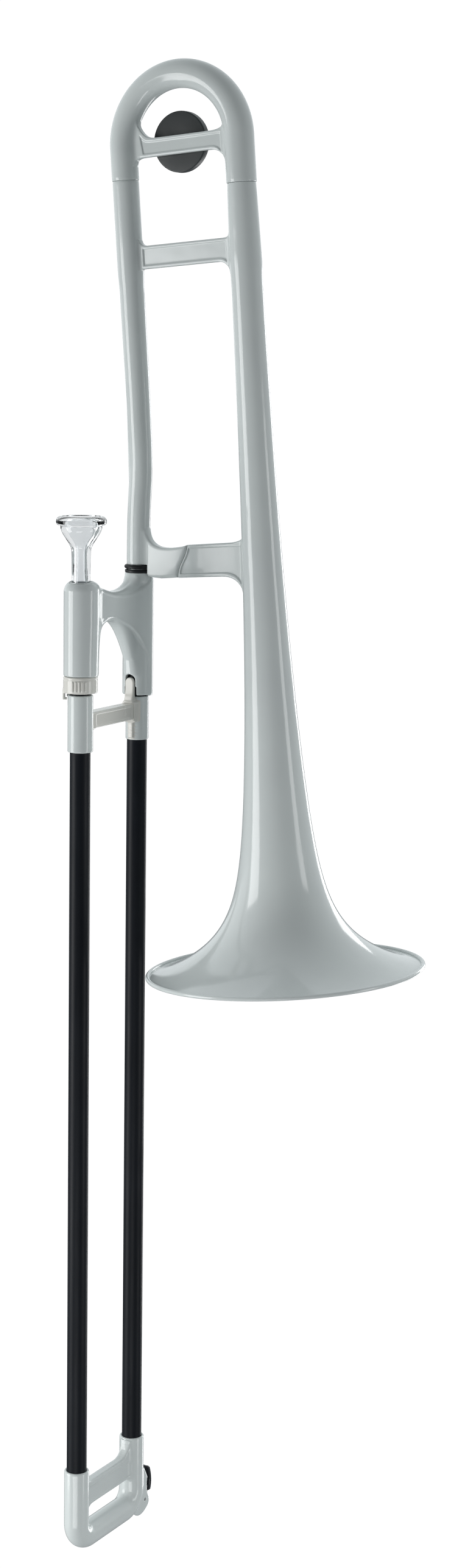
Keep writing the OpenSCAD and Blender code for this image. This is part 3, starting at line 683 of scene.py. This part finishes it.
def clamp_field(x, y, z):
    """Clamp on the lower sleeve, with the prong that enters the notch"""
    half = 5.4
    lower = y - LOWER_Y
    sleeve = np.hypot(x, lower) - SLEEVE_R[1]
    pad = smax(smax(slab(z, BRACE_LOW - 1, BRACE_HIGH + 1), np.abs(x) - half, 1.8),
               slab(y, BAR_SEAM_Y + 0.05, LOWER_Y - 5), 0.8)
    front = lower + BARREL_R - 1.55
    arm_top = NOTCH_HIGH - 2.5 - PRONG_R
    prong = smin(smax(np.abs(x) - PRONG_R, slab(z, BRACE_HIGH - 4, arm_top), 0.3),
                 np.hypot(x, z - arm_top) - PRONG_R, 0.4)
    # The arm swells outwards above the bar before it enters the notch
    swell = 1.5 * np.exp(-((z - BRACE_HIGH - 2.0) / 5.5) ** 2)
    prong = smax(prong, np.abs(front + swell * 0.5) - 1.35 - swell * 0.5, 1.1)
    tail = block(x, lower + SLEEVE_R[1] + 0.2, z - (BRACE_LOW + SLEEVE_LOW + 2) / 2,
                 (1.9, 0.9, (BRACE_LOW - SLEEVE_LOW - 2) / 2), 0.6)
    d = saddle(smin(pad, tail, 1.0), sleeve, 1.6)
    rungs = 0.22 * np.cos(2 * math.pi * (z - SLEEVE_LOW) / 2.3)
    d = d - rungs * ease(BRACE_LOW - 2 - z, 0, 1.5) * ease(-front, -1, 1)
    d = smin(d, prong, 2.0)
    # Curled lip under the clamp
    d = smin(d, rod(lower + SLEEVE_R[1] + 1.0, z - BRACE_LOW + 0.9, x, 1.5, -half + 0.6, half - 0.6,
                    0.8), 1.2)
    clear = rod(x, lower, z, BORE_R + 0.3, SLEEVE_TOPS[1] - 0.2, 0, 0.2)
    return smax(d, -clear, 0.3)


def build_slide_brace():
    moulded("slide_brace_bar", bar_field, "cream_gloss", "slide_brace", 0.5, (1, 3, 3), 1)
    moulded("slide_brace_clamp_shell", clamp_field, "cream_gloss", "slide_brace_clamp", 0.42,
            (1, 0, 1), 1)


# ---- Slide bow and water key ----

BOW_R, CORNER_R = 9.3, 14.0
BOW_AXIS = BOW_HIGH - 55.5
CORNER_Z = BOW_AXIS + CORNER_R
EAR_GAP, EAR_T = 7.0, 2.6
NIPPLE_END = 24.8


def bow_line(y, z):
    """Distance in the bow's plane to the middle of its passage"""
    side, run = np.abs(y), (LOWER_Y - UPPER_Y) / 2 - CORNER_R
    corner = np.abs(np.hypot(side - run, z - CORNER_Z) - CORNER_R)
    leg, bottom = np.abs(side - LOWER_Y), np.abs(z - BOW_AXIS)
    return np.where(z >= CORNER_Z, np.where(side > run, leg, np.minimum(leg, bottom)),
                    np.where(side > run, corner, bottom))


EAR = [(LOWER_Y + a, BOW_HIGH + b) for a, b in (
    [(2, -22), (5, -22)]
    + curve((5, -22), (9.5, -28.5), (12.6, -34), (14.6, -38.3), 8)
    + curve((14.6, -38.3), (13, -42.5), (13, -47.5), (15, -51.8), 8)
    + curve((15, -51.8), (17.8, -56), (17.8, -60.6), (12.5, -63), 8)
    + curve((12.5, -63), (8, -65.8), (2, -67), (-2.7, -63.1), 8)
    + [(-6, -58), (-3, -44)])]


def water_hole(y, z):
    """Distance along and across the line that leaves the lower corner at 45 degrees"""
    a, b = y - LOWER_Y + CORNER_R, z - CORNER_Z
    return (a - b) * math.sqrt(0.5), (a + b) * math.sqrt(0.5)


def slide_bow_field(x, y, z):
    """Bow with its passage, sockets, water hole and ears"""
    line = bow_line(y, z)
    d = smax(np.hypot(line, x) - BOW_R, z - BOW_HIGH, 1.5)
    out, side = water_hole(y, z)
    d = smin(d, rod(side, x, out, 3, CORNER_R + 4, NIPPLE_END, 0.5), 1.2)
    ears = np.abs(np.abs(x) - (EAR_GAP + EAR_T) / 2) - EAR_T / 2
    d = smin(d, smax(outline(EAR, y, z), ears, 1.1), 1.6)
    head = rod(y - KEY_Y, z - KEY_Z, np.abs(x), 2.1, EAR_GAP / 2 + 1, EAR_GAP / 2 + EAR_T + 0.3, 0.3)
    d = smin(d, head, 0.5)
    passage = smax(np.hypot(line, x) - 6.6, z - BOW_HIGH + 13.9, 0.3)
    sockets = np.minimum(rod(x, y - UPPER_Y, z, TUBE_R, BOW_HIGH - 14, BOW_HIGH + 9, 0.2),
                         rod(x, y - LOWER_Y, z, TUBE_R, BOW_HIGH - 14, BOW_HIGH + 9, 0.2))
    pin = rod(y - KEY_Y, z - KEY_Z, x, 1.22, -20, 20, 0.1)
    hole = rod(side, x, out, 1.6, CORNER_R, NIPPLE_END + 5, 0.2)
    cuts = np.minimum.reduce(np.broadcast_arrays(passage, sockets, pin, hole))
    return smax(d, -cuts, 0.5)


def bow_brace_field(x, y, z):
    """Bar across the slide bow with a rounded ledge on top"""
    half = 4.0
    low, high = BOW_HIGH - 32, BOW_HIGH - 13.5
    left, right = UPPER_Y + BOW_R, LOWER_Y - BOW_R
    shape = (
        [(left - 4, low - 6)]
        + curve_at(left, low, (0, -6), (1.5, -2), (4, 0), (9, 0), 6)
        + [(right - 3, low), (right + 4, low - 1), (right + 4, high + 12)]
        + curve_at(right, high, (0, 12), (-1, 5), (-4, 1), (-10, 0), 8)
        + [(left + 6, high), (left, high + 1.5), (left - 4, high + 1.5)])
    plate = outline(shape, y, z)
    bar = smax(plate, np.abs(x) - half, 2.2)
    # Fine step under the ledge and a line above the lower edge
    ledge = smax(z - high + 4.2, half - 0.7 - np.abs(x), 0.4)
    groove = smax(np.abs(z - low - 3.0) - 0.25, half - 0.4 - np.abs(x), 0.2)
    bar = smax(smax(bar, -smax(ledge, low + 3.0 - z, 0.4), 0.6), -groove, 0.3)
    d = np.inf
    for y0 in (UPPER_Y, LOWER_Y):
        d = np.minimum(d, saddle(bar, np.hypot(x, y - y0) - BOW_R, 2.6))
    return smax(d, z - BOW_HIGH + 1.2, 0.5)


def key_field():
    """Water key: a thumb plate, an arm between the ears with a boss, and the pad's seat"""
    seat = (NIPPLE_END + 2.1) * math.sqrt(0.5)
    y0, z0 = seat - CORNER_R, CORNER_Z - BOW_HIGH - seat
    thumb = [(LOWER_Y + a, BOW_HIGH + b) for a, b in (
        curve((19, -31.5), (21, -36), (23.4, -44), (20.3, -51))
        + curve((17.6, -51), (20.4, -44), (18.6, -36), (16.4, -31)))]
    arm = [(LOWER_Y + a, BOW_HIGH + b) for a, b in (
        (20.3, -47), (20.3, -51), (17.8, -55.5), (13.4, -58.6), (y0 + 4.3, z0 + 0.5),
        (y0 - 0.5, z0 - 4.3), (y0 - 2.4, z0 - 2.4), (y0 + 2, z0 + 2), (7.6, -57), (9, -51.6),
        (12.5, -51.8), (18, -47))]
    half = EAR_GAP / 2 - 0.4

    def field(x, y, z):
        # The thumb plate is a little hollow across and rounder at its end
        plate = smax(outline(thumb, y - 0.012 * x * x, z), np.abs(x) - 5, 0.9)
        plate = smax(plate, np.hypot(x, z - BOW_HIGH + 37.6) - 7.4 - 30 * (z < BOW_HIGH - 36), 0.8)
        d = smin(plate, smax(outline(arm, y, z), np.abs(x) - half, 0.8), 0.8)
        d = smin(d, rod(y - KEY_Y, z - KEY_Z, x, 3.7, -half, half, 0.6), 0.6)
        d = smax(d, -rod(y - KEY_Y, z - KEY_Z, x, 1.28, -20, 20, 0.1), 0.2)
        return smax(d, -rod(y - KEY_Y, z - KEY_Z, x, 2.6, -1.4, 1.4, 0.2), 0.2)
    return field


def build_slide_bow():
    moulded("slide_bow_moulding", slide_bow_field, "white_gloss", "slide_bow", 0.62)
    moulded("slide_bow_ledge", bow_brace_field, "white_gloss", "slide_bow_brace", 0.5,
            (1, 4, 3), (1, 4, 1))
    moulded("water_key_arm", key_field(), "black_plastic", "water_key_lever", 0.4)
    out = (0, math.sqrt(0.5), -math.sqrt(0.5))
    seat = straight(0, LOWER_Y - CORNER_R, CORNER_Z, axis=out)
    pad = soften([(0, NIPPLE_END + 0.1, 0), (2.9, NIPPLE_END + 0.1, 0.4),
                  (2.9, NIPPLE_END + 2.08, 0.3), (0, NIPPLE_END + 2.08, 0)], closed=False)
    add_piece("water_key_cork", *turned(pad, seat, 48), "pad_cork", "water_key_pad")
    build_spring()


def build_spring():
    """Coil of 3 turns round the water key's pin"""
    wire, radius, turns, per_turn = 0.35, 2.0, 3, 28
    t = np.arange(turns * per_turn + 1) / per_turn
    line = np.stack([(t / turns - 0.5) * 4 * wire, KEY_Y + radius * np.cos(2 * math.pi * t),
                     KEY_Z + radius * np.sin(2 * math.pi * t)], 1)
    add_piece("water_key_coil", *wire_mesh(line, wire), "steel", "water_key_spring")


def wire_mesh(line, radius, segments=12):
    """Round wire with domed ends along a line of points"""
    along = np.gradient(line, axis=0)
    along /= np.linalg.norm(along, axis=1)[:, None]
    first = np.cross(along, (1, 0, 0))
    first /= np.linalg.norm(first, axis=1)[:, None]
    second = np.cross(along, first)
    last = len(line) - 1
    profile = [(0, 0)] + [(radius, i) for i in range(len(line))] + [(0, last)]
    index = np.array([int(s) for _, s in profile])
    ends = np.zeros((len(profile), 3))
    ends[0], ends[-1] = -along[0] * radius * 0.6, along[last] * radius * 0.6
    return turned(profile, lambda s: (line[index] + ends, first[index], second[index]), segments)


# ---- Bell section ----

BELL_STEPS = 150
CUP_TAPER, BELL_TOP_R, BELL_CUP_R = 60, 10.4, 11.7
BEAD_R = 1.5
WALL = 2.0


def bell_radius(t):
    """Outer radius at distance t above the rim: a slender tail, a body and a flare"""
    flare = 9.8 + 28.7 * np.exp(-t / 165) + 58.2 * np.exp(-t / 21.8) + 4.9 * np.exp(-t / 2.5)
    cup = BELL_TOP_R + (BELL_CUP_R - BELL_TOP_R) * np.clip((BELL_LENGTH - t) / CUP_TAPER, 0, 1)
    foot = BELL_LENGTH - CUP_TAPER - 14
    rise = ease(t, foot, foot + 20)
    return np.minimum(BELL_R - 0.5, flare * (1 - rise) + cup * rise)


def build_bell():
    """Bell wall, thinner near the rim, and the rolled bead"""
    t = BELL_LENGTH * np.linspace(0, 1, BELL_STEPS) ** 2.2
    outer = np.stack([bell_radius(t), t + BELL_RIM], 1)
    cup_low = BELL_LENGTH - 78
    inner_t = t[t < cup_low - 12]
    wall = WALL * (0.75 + 0.25 * np.minimum(1, inner_t / 120))
    inner = np.stack([bell_radius(inner_t) - wall, inner_t + BELL_RIM], 1)[::-1]
    lip = [(BELL_TOP_R - 0.15, BELL_SEAM - 0.4), (BELL_TOP_R - 0.5, BELL_SEAM - 0.05),
           (8.7, BELL_SEAM - 0.05), (8.66, BELL_SEAM - 0.4), (8.66, BELL_RIM + cup_low)]
    profile = np.concatenate([outer[:-1], lip, inner])
    add_piece("bell_flare", *turned(profile, leaning_line(LEG_GAP), 224), "white_gloss", "bell")
    turn = np.linspace(0, 2 * math.pi, 28, endpoint=False)
    bead = np.stack([BELL_R - BEAD_R + BEAD_R * np.cos(turn),
                     BELL_RIM + BEAD_R / 2 + BEAD_R * np.sin(turn)], 1)
    add_piece("bell_rim_roll", *turned(bead, leaning_line(LEG_GAP), 224), "white_gloss",
              "bell_rim_bead")


def path_of(line):
    """Path through points in the plane of the bell section, read by distance along it"""
    line = np.asarray(line, float)
    steps = np.concatenate([[0], np.cumsum(np.linalg.norm(np.diff(line, axis=0), axis=1))])
    along = np.gradient(line, steps, axis=0)
    along /= np.linalg.norm(along, axis=1)[:, None]

    def path(s):
        centres = np.stack([np.interp(s, steps, line[:, i]) for i in range(3)], 1)
        tangent = np.stack([np.interp(s, steps, along[:, i]) for i in range(3)], 1)
        tangent /= np.linalg.norm(tangent, axis=1)[:, None]
        first = np.cross(tangent, (0, 1, 0))
        return centres, first, np.cross(tangent, first)
    return path, steps[-1]


NECK_TOP_Z = BEND[2] + NECK_SEAM * AXIS[2]


def neck_x(z):
    """Sideways place of the neck, which stands up, sways and then leans"""
    slope = AXIS[0] / AXIS[2]
    soft = 24.0
    over = z - BEND[2]
    lean_part = slope * np.where(np.abs(over) < soft, (over + soft) ** 2 / (4 * soft),
                                 np.maximum(over, 0))
    sway = 1.7 * np.exp(-((z - 99) / 27) ** 2)
    return lean_part + sway


def neck_radius(s, length):
    """Outer radius at distance s from the neck's foot"""
    cup = length - (NECK_SEAM - 105)
    return 8.5 + 0.6 * ease(s, 60, cup - 20) + 0.55 * ease(s, cup - 16, cup + 2)


def build_neck():
    """Neck pipe with a socket at its foot and one at its top"""
    z = np.linspace(NECK_LOW, NECK_TOP_Z, 200)
    line = np.stack([neck_x(z), np.full_like(z, LOWER_Y), z], 1)
    path, length = path_of(line)
    s = np.linspace(0, length, 160)
    outer = np.stack([neck_radius(s, length), s], 1)
    outer[0] -= (0.5, 0)
    foot = [(8.25, 0.1), (8.45, 0.4)]
    top_r = neck_radius(length, length)
    lip = [(top_r - 0.12, length - 0.35), (top_r - 0.45, length), (7.9, length),
           (7.66, length - 0.3)]
    seat = length - 78
    inner = [(7.66, seat), (6.35, seat - 3), (6.35, 30), (7.51, 27), (7.51, 0.3), (7.7, 0)]
    profile = np.concatenate([[outer[0]], foot, outer[2:-1], lip, inner])
    add_piece("neck_pipe", *turned(profile, path), "white_gloss", "neck")


def upright(x, w):
    """Sideways place and height in the model's frame of a point in the leaning one"""
    return x * ACROSS[0] + w * AXIS[0], BEND[2] + x * ACROSS[2] + w * AXIS[2]


def neck_skin(x, y, w):
    """Distance to the neck in the leaning frame's coordinates"""
    across, z = upright(x, w)
    radius = 8.5 + 0.6 * ease(z, NECK_LOW + 60, BEND[2] + 75) + 0.55 * ease(w, 89, 107)
    return np.hypot(across - neck_x(z), y) - radius


def bell_skin(x, y, w):
    return np.hypot(x - LEG_GAP, y) - bell_radius(w - BELL_RIM)


def panelled(shape, hollow, a, c, b, half, depth=0.8):
    """Plate in the a, b plane with a sunk panel on both faces"""
    plate = smax(outline(shape, a, b), np.abs(c) - half, 1.3)
    return smax(plate, -smax(outline(hollow, a, b), half - depth - np.abs(c), 0.5), 0.8)


def upper_brace_field(x, y, w):
    low, high, half = 105.2, 122.0, 2.8
    left, right = 9.7, LEG_GAP - 11.7
    shape = (
        [(left - 5, low), (right - 10, low)]
        + curve_at(right, low, (-10, 0), (-5, 0), (-1.5, -3), (0.6, -9), 8)
        + [(right + 5, low - 9), (right + 5, high + 2.5)]
        + curve_at(right, high, (0.5, 2.5), (-0.5, 0.6), (-2, 0), (-5, 0), 4)
        + curve_at(left, high, (7, 0), (3, 0), (1.6, 1.4), (0.2, 4), 6)
        + [(left - 5, high + 4)])
    hollow = (
        [(left + 3.4, low + 2.6), (right - 9, low + 2.6)]
        + curve_at(right, low, (-9, 2.6), (-5, 2.6), (-3, 1), (-2.6, 0), 4)
        + [(right - 2.6, high - 2.6), (left + 3.4, high - 2.6)])
    bar = panelled(shape, hollow, x, y, w, half)
    return np.minimum(saddle(bar, neck_skin(x, y, w), 2.2), saddle(bar, bell_skin(x, y, w), 2.6))


LOWER_LOW, LOWER_HIGH = -119.9, -95.4


def seam_points(shift=0.0):
    """S-shaped seam between the lower brace's halves, from its top down"""
    return [(a + shift, b) for a, b in curve(
        (36.0, LOWER_HIGH - 0.5), (33.5, LOWER_HIGH - 12), (28, LOWER_LOW + 12),
        (26.2, LOWER_LOW + 0.3), 12)]


def neck_half_field(x, y, w):
    """Thick half of the lower brace, on the neck's foot"""
    half = 4.1
    shape = (
        [(-5, LOWER_LOW + 3.5), (3, LOWER_LOW + 1.2), (12, LOWER_LOW)]
        + seam_points()[::-1]
        + curve((31, LOWER_HIGH - 1.6), (14, LOWER_HIGH - 3.4), (4.2, LOWER_HIGH - 2.0),
                (1.8, LOWER_HIGH + 11), 14)
        + [(-5, LOWER_HIGH + 11)])
    bar = smax(outline(shape, x, w), np.abs(y) - half, 2.6)
    d = saddle(bar, neck_skin(x, y, w), 3.4)
    across, z = upright(x, w)
    collar = smax(np.hypot(across, y) - 10.8, z - NECK_LOW - 0.3, 0.3)
    # The part under the neck's foot hangs past the collar, outside the clearance
    hang = smax(bar, z - NECK_LOW - 1, 0.5)
    return smax(np.minimum(d, hang), -collar, 0.4)


def bell_half_field(x, y, w):
    """Panelled half of the lower brace, on the bell"""
    half = 3.2
    right = LEG_GAP - 13.5
    shape = (
        seam_points(0.15)
        + [(27, LOWER_LOW), (right - 20, LOWER_LOW)]
        + curve_at(right, LOWER_LOW, (-20, 0), (-10, 0), (-4.5, -4), (-1.2, -14), 10)
        + [(right + 5, LOWER_LOW - 14), (right + 5, LOWER_HIGH + 2)]
        + curve_at(right, LOWER_HIGH, (-2, 2), (-6, 0.4), (-9, 0), (-14, 0), 5))
    edge = [p for p in seam_points(2.0) if LOWER_LOW + 3.2 < p[1] < LOWER_HIGH - 3.2]
    hollow = (
        [(edge[0][0] + 0.4, LOWER_HIGH - 3)] + edge + [(edge[-1][0] - 0.3, LOWER_LOW + 3)]
        + curve_at(right, LOWER_LOW, (-19, 3), (-10, 3), (-5, 0), (-3.2, -6), 6)
        + [(right - 2.6, LOWER_HIGH - 3)])
    bar = panelled(shape, hollow, x, y, w, half, depth=1.0)
    return saddle(bar, bell_skin(x, y, w), 2.8)


def build_braces():
    for node, field, *box in (
            ("upper_brace", upper_brace_field, (4, -5, 94), (90, 5, 128)),
            ("lower_brace_neck_half", neck_half_field, (-5, -6, -122), (38, 6, -80)),
            ("lower_brace_bell_half", bell_half_field, (24, -5, -136), (90, 5, -91))):
        moulded(node + "_moulding", field, "white_gloss", node, 0.5, box=box, place=leaning)


# ---- Tuning slide ----

BOW_SMALL_R, BOW_LARGE_R = 9.95, 10.85


def bow_radius(share):
    return BOW_SMALL_R + (BOW_LARGE_R - BOW_SMALL_R) * ease(share, 0.15, 0.85)


def build_tuning_bow():
    half, gap = LEG_GAP / 2, 0.12
    turn = np.linspace(math.pi, 0, 96)
    up = np.linspace(NECK_SEAM + gap, BOW_CENTRE, 13)[:-1]
    down = np.linspace(BOW_CENTRE, BELL_SEAM + gap, 17)[1:]
    across = np.concatenate([0 * up, half + half * np.cos(turn), 0 * down + LEG_GAP])
    along = np.concatenate([up, BOW_CENTRE + half * np.sin(turn), down])
    path, length = path_of(leaning(np.stack([across, 0 * across, along], 1)))
    s = np.linspace(0, length, 170)
    outer = np.stack([bow_radius(s / length), s], 1)
    start = [(7.7, 0.0), (BOW_SMALL_R - 0.45, 0.0), (BOW_SMALL_R - 0.12, 0.3)]
    end = [(BOW_LARGE_R - 0.12, length - 0.3), (BOW_LARGE_R - 0.45, length), (8.7, length)]
    inner = [(6.35, v) for v in np.linspace(length, 0, 120)]
    profile = np.concatenate([start, outer[1:-1], end, inner])
    add_piece("tuning_bow_pipe", *turned(profile, path, 112), "white_gloss", "tuning_bow")


def tuning_brace_field(x, y, w):
    """Brace across the tuning bow, which carries the counterweight"""
    low, high, half = 184.7, 198.1, 2.8
    left, right = BOW_SMALL_R, LEG_GAP - BOW_LARGE_R
    shape = (
        [(left - 5, low - 3.5)]
        + curve_at(left, low, (0, -3.5), (1.5, -1), (3, 0), (8, 0), 5)
        + curve_at(right, low, (-14, 0), (-7, 0), (-3, -2), (0.5, -9), 8)
        + [(right + 5, low - 9), (right + 5, high + 5)]
        + curve_at(right, high, (0.5, 4), (-2, 1.4), (-6, 0), (-12, 0), 6)
        + curve_at(left, high, (19, 0), (9, 0), (6, 5), (1.8, 17))
        + [(left - 5, high + 17)])
    hollow = (
        [(left + 8, low + 2.6), (right - 12, low + 2.6)]
        + curve_at(right, low, (-12, 2.6), (-7, 2.6), (-5, 1), (-3.4, -2), 4)
        + [(right - 3.4, high - 2.4), (left + 17, high - 2.6)]
        + curve_at(left, high, (17, -2.6), (10, -2.6), (8, -2), (6, 2), 5))
    bar = panelled(shape, hollow, x, y, w, half)
    share = np.clip(x / LEG_GAP, 0, 1)
    side, half_gap = x - LEG_GAP / 2, LEG_GAP / 2
    ends = []
    for sign in (-1, 1):
        line = np.where(w > BOW_CENTRE, np.hypot(side, w - BOW_CENTRE), sign * side) - half_gap
        leg = np.hypot(line, y) - bow_radius(share)
        far = np.where(sign * side > 0, 0, 8)  # Keeps each end's fillet on its own leg
        ends.append(saddle(bar, leg + far, 2.6))
    return np.minimum(*np.broadcast_arrays(*ends))


def build_counterweight():
    low, high = span("counterweight")
    centre = (low + high) / 2
    path = straight(centre[0], 0, centre[2], axis=(0, 1, 0))
    front, back, radius = low[1], high[1], (high[0] - low[0]) / 2
    disc = soften([(2.5, front, 0.1), (radius - 0.1, front, 0.9), (radius, back, 1.1),
                   (radius - 4, back, 0.4), (radius - 4.3, back - 0.4, 0.2), (2.5, back - 0.4, 0.1)])
    add_piece("counterweight_disc", *turned(disc, path, 128), "charcoal_plastic", "counterweight")
    low, high = span("counterweight_cap")
    cap_r = (high[0] - low[0]) / 2
    cap = soften([(0, low[1] - 0.35, 0), (cap_r, low[1] - 0.35, 0.2), (cap_r, low[1] + 0.4, 0.4),
                  (cap_r - 2, high[1], 0.8), (cap_r - 5, high[1], 0.4),
                  (cap_r - 5.5, high[1] - 0.5, 0.3), (0, high[1] - 0.5, 0)], closed=False)
    add_piece("counterweight_cover", *turned(cap, path, 128), "charcoal_plastic",
              "counterweight_cap")


def build_tuning_slide():
    build_tuning_bow()
    moulded("tuning_brace_moulding", tuning_brace_field, "white_gloss", "tuning_brace", 0.5,
            box=((4, -5, 174), (92, 5, 217)), place=leaning)
    build_counterweight()


# ---- CAD nodes that stay, with their finish ----

KEPT = {
    "white_gloss": ("mouthpiece_receiver", "neck_tenon", "tuning_leg_neck", "tuning_leg_bell"),
    "inner_tube": ("inner_tube_upper", "inner_tube_lower", "stocking_upper", "stocking_lower"),
    "black_rubber": ("bumper_upper", "bumper_lower"),
    "steel": ("counterweight_stud", "water_key_pin"),
    "charcoal_plastic": ("counterweight_nut",),
}


def finish_kept():
    for slot, nodes in KEPT.items():
        for node in nodes:
            mesh = frame["nodes"][node].data
            mesh.materials.clear()
            mesh.materials.append(MATERIALS[slot])


# ---- Studio ----

FLOOR_Z = -1.40
# Strength of the white that the camera sees round the object
WHITE = 1.02
# Brightness of the room in front of the object and of the backdrop behind it
ROOM_LIGHT = (0.175, 0.95)
# Height of the middle of the strip lights, level with the lower half of the slide
STRIP_Z = -0.55
# Name, degrees round from the camera, distance, height, width and height of the face, watts
LIGHTS = (
    ("key_strip", -75, 1.7, STRIP_Z, (0.9, 1.75), 23),
    ("fill_strip", 66, 1.7, STRIP_Z, (0.45, 1.75), 7.5),
    ("rim_strip", 141, 1.6, STRIP_Z, (0.5, 1.75), 8.5),
    ("low_front", -12, 1.2, -1.1, (0.9, 0.4), 4),
)


def floor_material():
    """Matt pale floor that reads as white as the backdrop"""
    made = bpy.data.materials.new("floor_white")
    made.use_nodes = True
    tree = made.node_tree
    surface = tree.nodes["Principled BSDF"]
    for socket, value in (("Base Color", (0.30, 0.31, 0.32, 1)), ("Roughness", 0.9),
                          ("Specular IOR Level", 0.1)):
        surface.inputs[socket].default_value = value
    white_to_camera(tree, surface.outputs["BSDF"], tree.nodes["Material Output"])
    return made


def white_to_camera(tree, around, output):
    """Plain white where it is looked at, directly or through clear plastic, and another shader
    for light and reflections"""
    white = add_node(tree, "Emission", "Emission", {"Color": (1, 1, 1, 1), "Strength": WHITE})
    ray = tree.nodes.new("ShaderNodeLightPath").outputs
    seen = add_node(tree, "Math", "Value",
                    {0: ray["Is Camera Ray"], 1: ray["Is Transmission Ray"]}, "MAXIMUM")
    mix = add_node(tree, "MixShader", "Shader", {"Fac": seen, 1: around, 2: white})
    tree.links.new(mix, output.inputs["Surface"])


def make_floor():
    """Round floor, far wider than the view"""
    size, corners = 30.0, 48
    turn = np.arange(corners) * 2 * math.pi / corners
    mesh = bpy.data.meshes.new("floor")
    mesh.from_pydata([(size * math.cos(t), size * math.sin(t), FLOOR_Z) for t in turn], [],
                     [tuple(range(corners))])
    mesh.materials.append(floor_material())
    floor = new_object("floor", mesh)


def strip_light(name, azimuth, distance, height, size, power):
    """Soft box at an azimuth round the object, turned to face it"""
    data = bpy.data.lights.new(name, "AREA")
    data.shape = "RECTANGLE"
    data.size, data.size_y = size
    data.energy = power
    light = new_object(name, data)
    turn = math.radians(azimuth)
    at = Vector((math.sin(turn) * distance, -math.cos(turn) * distance, height))
    light.location = at
    aim = Vector((0.05, 0, height)) - at
    light.rotation_euler = aim.to_track_quat("-Z", "Y").to_euler()
    light.visible_camera = False


def make_world():
    """White backdrop that lights the object from behind, with a darker room in front of it"""
    world = bpy.data.worlds.new("studio")
    bpy.context.scene.world = world
    world.use_nodes = True
    tree = world.node_tree
    coords = tree.nodes.new("ShaderNodeTexCoord")
    turn = math.radians(CAMERA_AZIMUTH)
    ahead = (-math.sin(turn), math.cos(turn), 0.25)
    facing = add_node(tree, "VectorMath", "Value",
                      {0: coords.outputs["Generated"], 1: ahead}, "DOT_PRODUCT")
    room = spread(tree, facing, *ROOM_LIGHT, -0.5, 0.8)
    around = tree.nodes["Background"]
    around.inputs["Color"].default_value = (0.93, 0.98, 1.0, 1)
    tree.links.new(room, around.inputs["Strength"])
    white_to_camera(tree, around.outputs["Background"], tree.nodes["World Output"])


def make_studio():
    make_floor()
    make_world()
    for name, turn, *rest in LIGHTS:
        strip_light(name, CAMERA_AZIMUTH + turn, *rest)
    settings = bpy.context.scene.view_settings
    settings.view_transform = "Standard"
    settings.look = "None"
    settings.exposure, settings.gamma = 0, 1


make_camera()
build_grip()
build_lock()
build_mouthpiece()
build_tubes()
build_slide_brace()
build_slide_bow()
build_bell()
build_neck()
build_braces()
build_tuning_slide()
finish_kept()
make_studio()
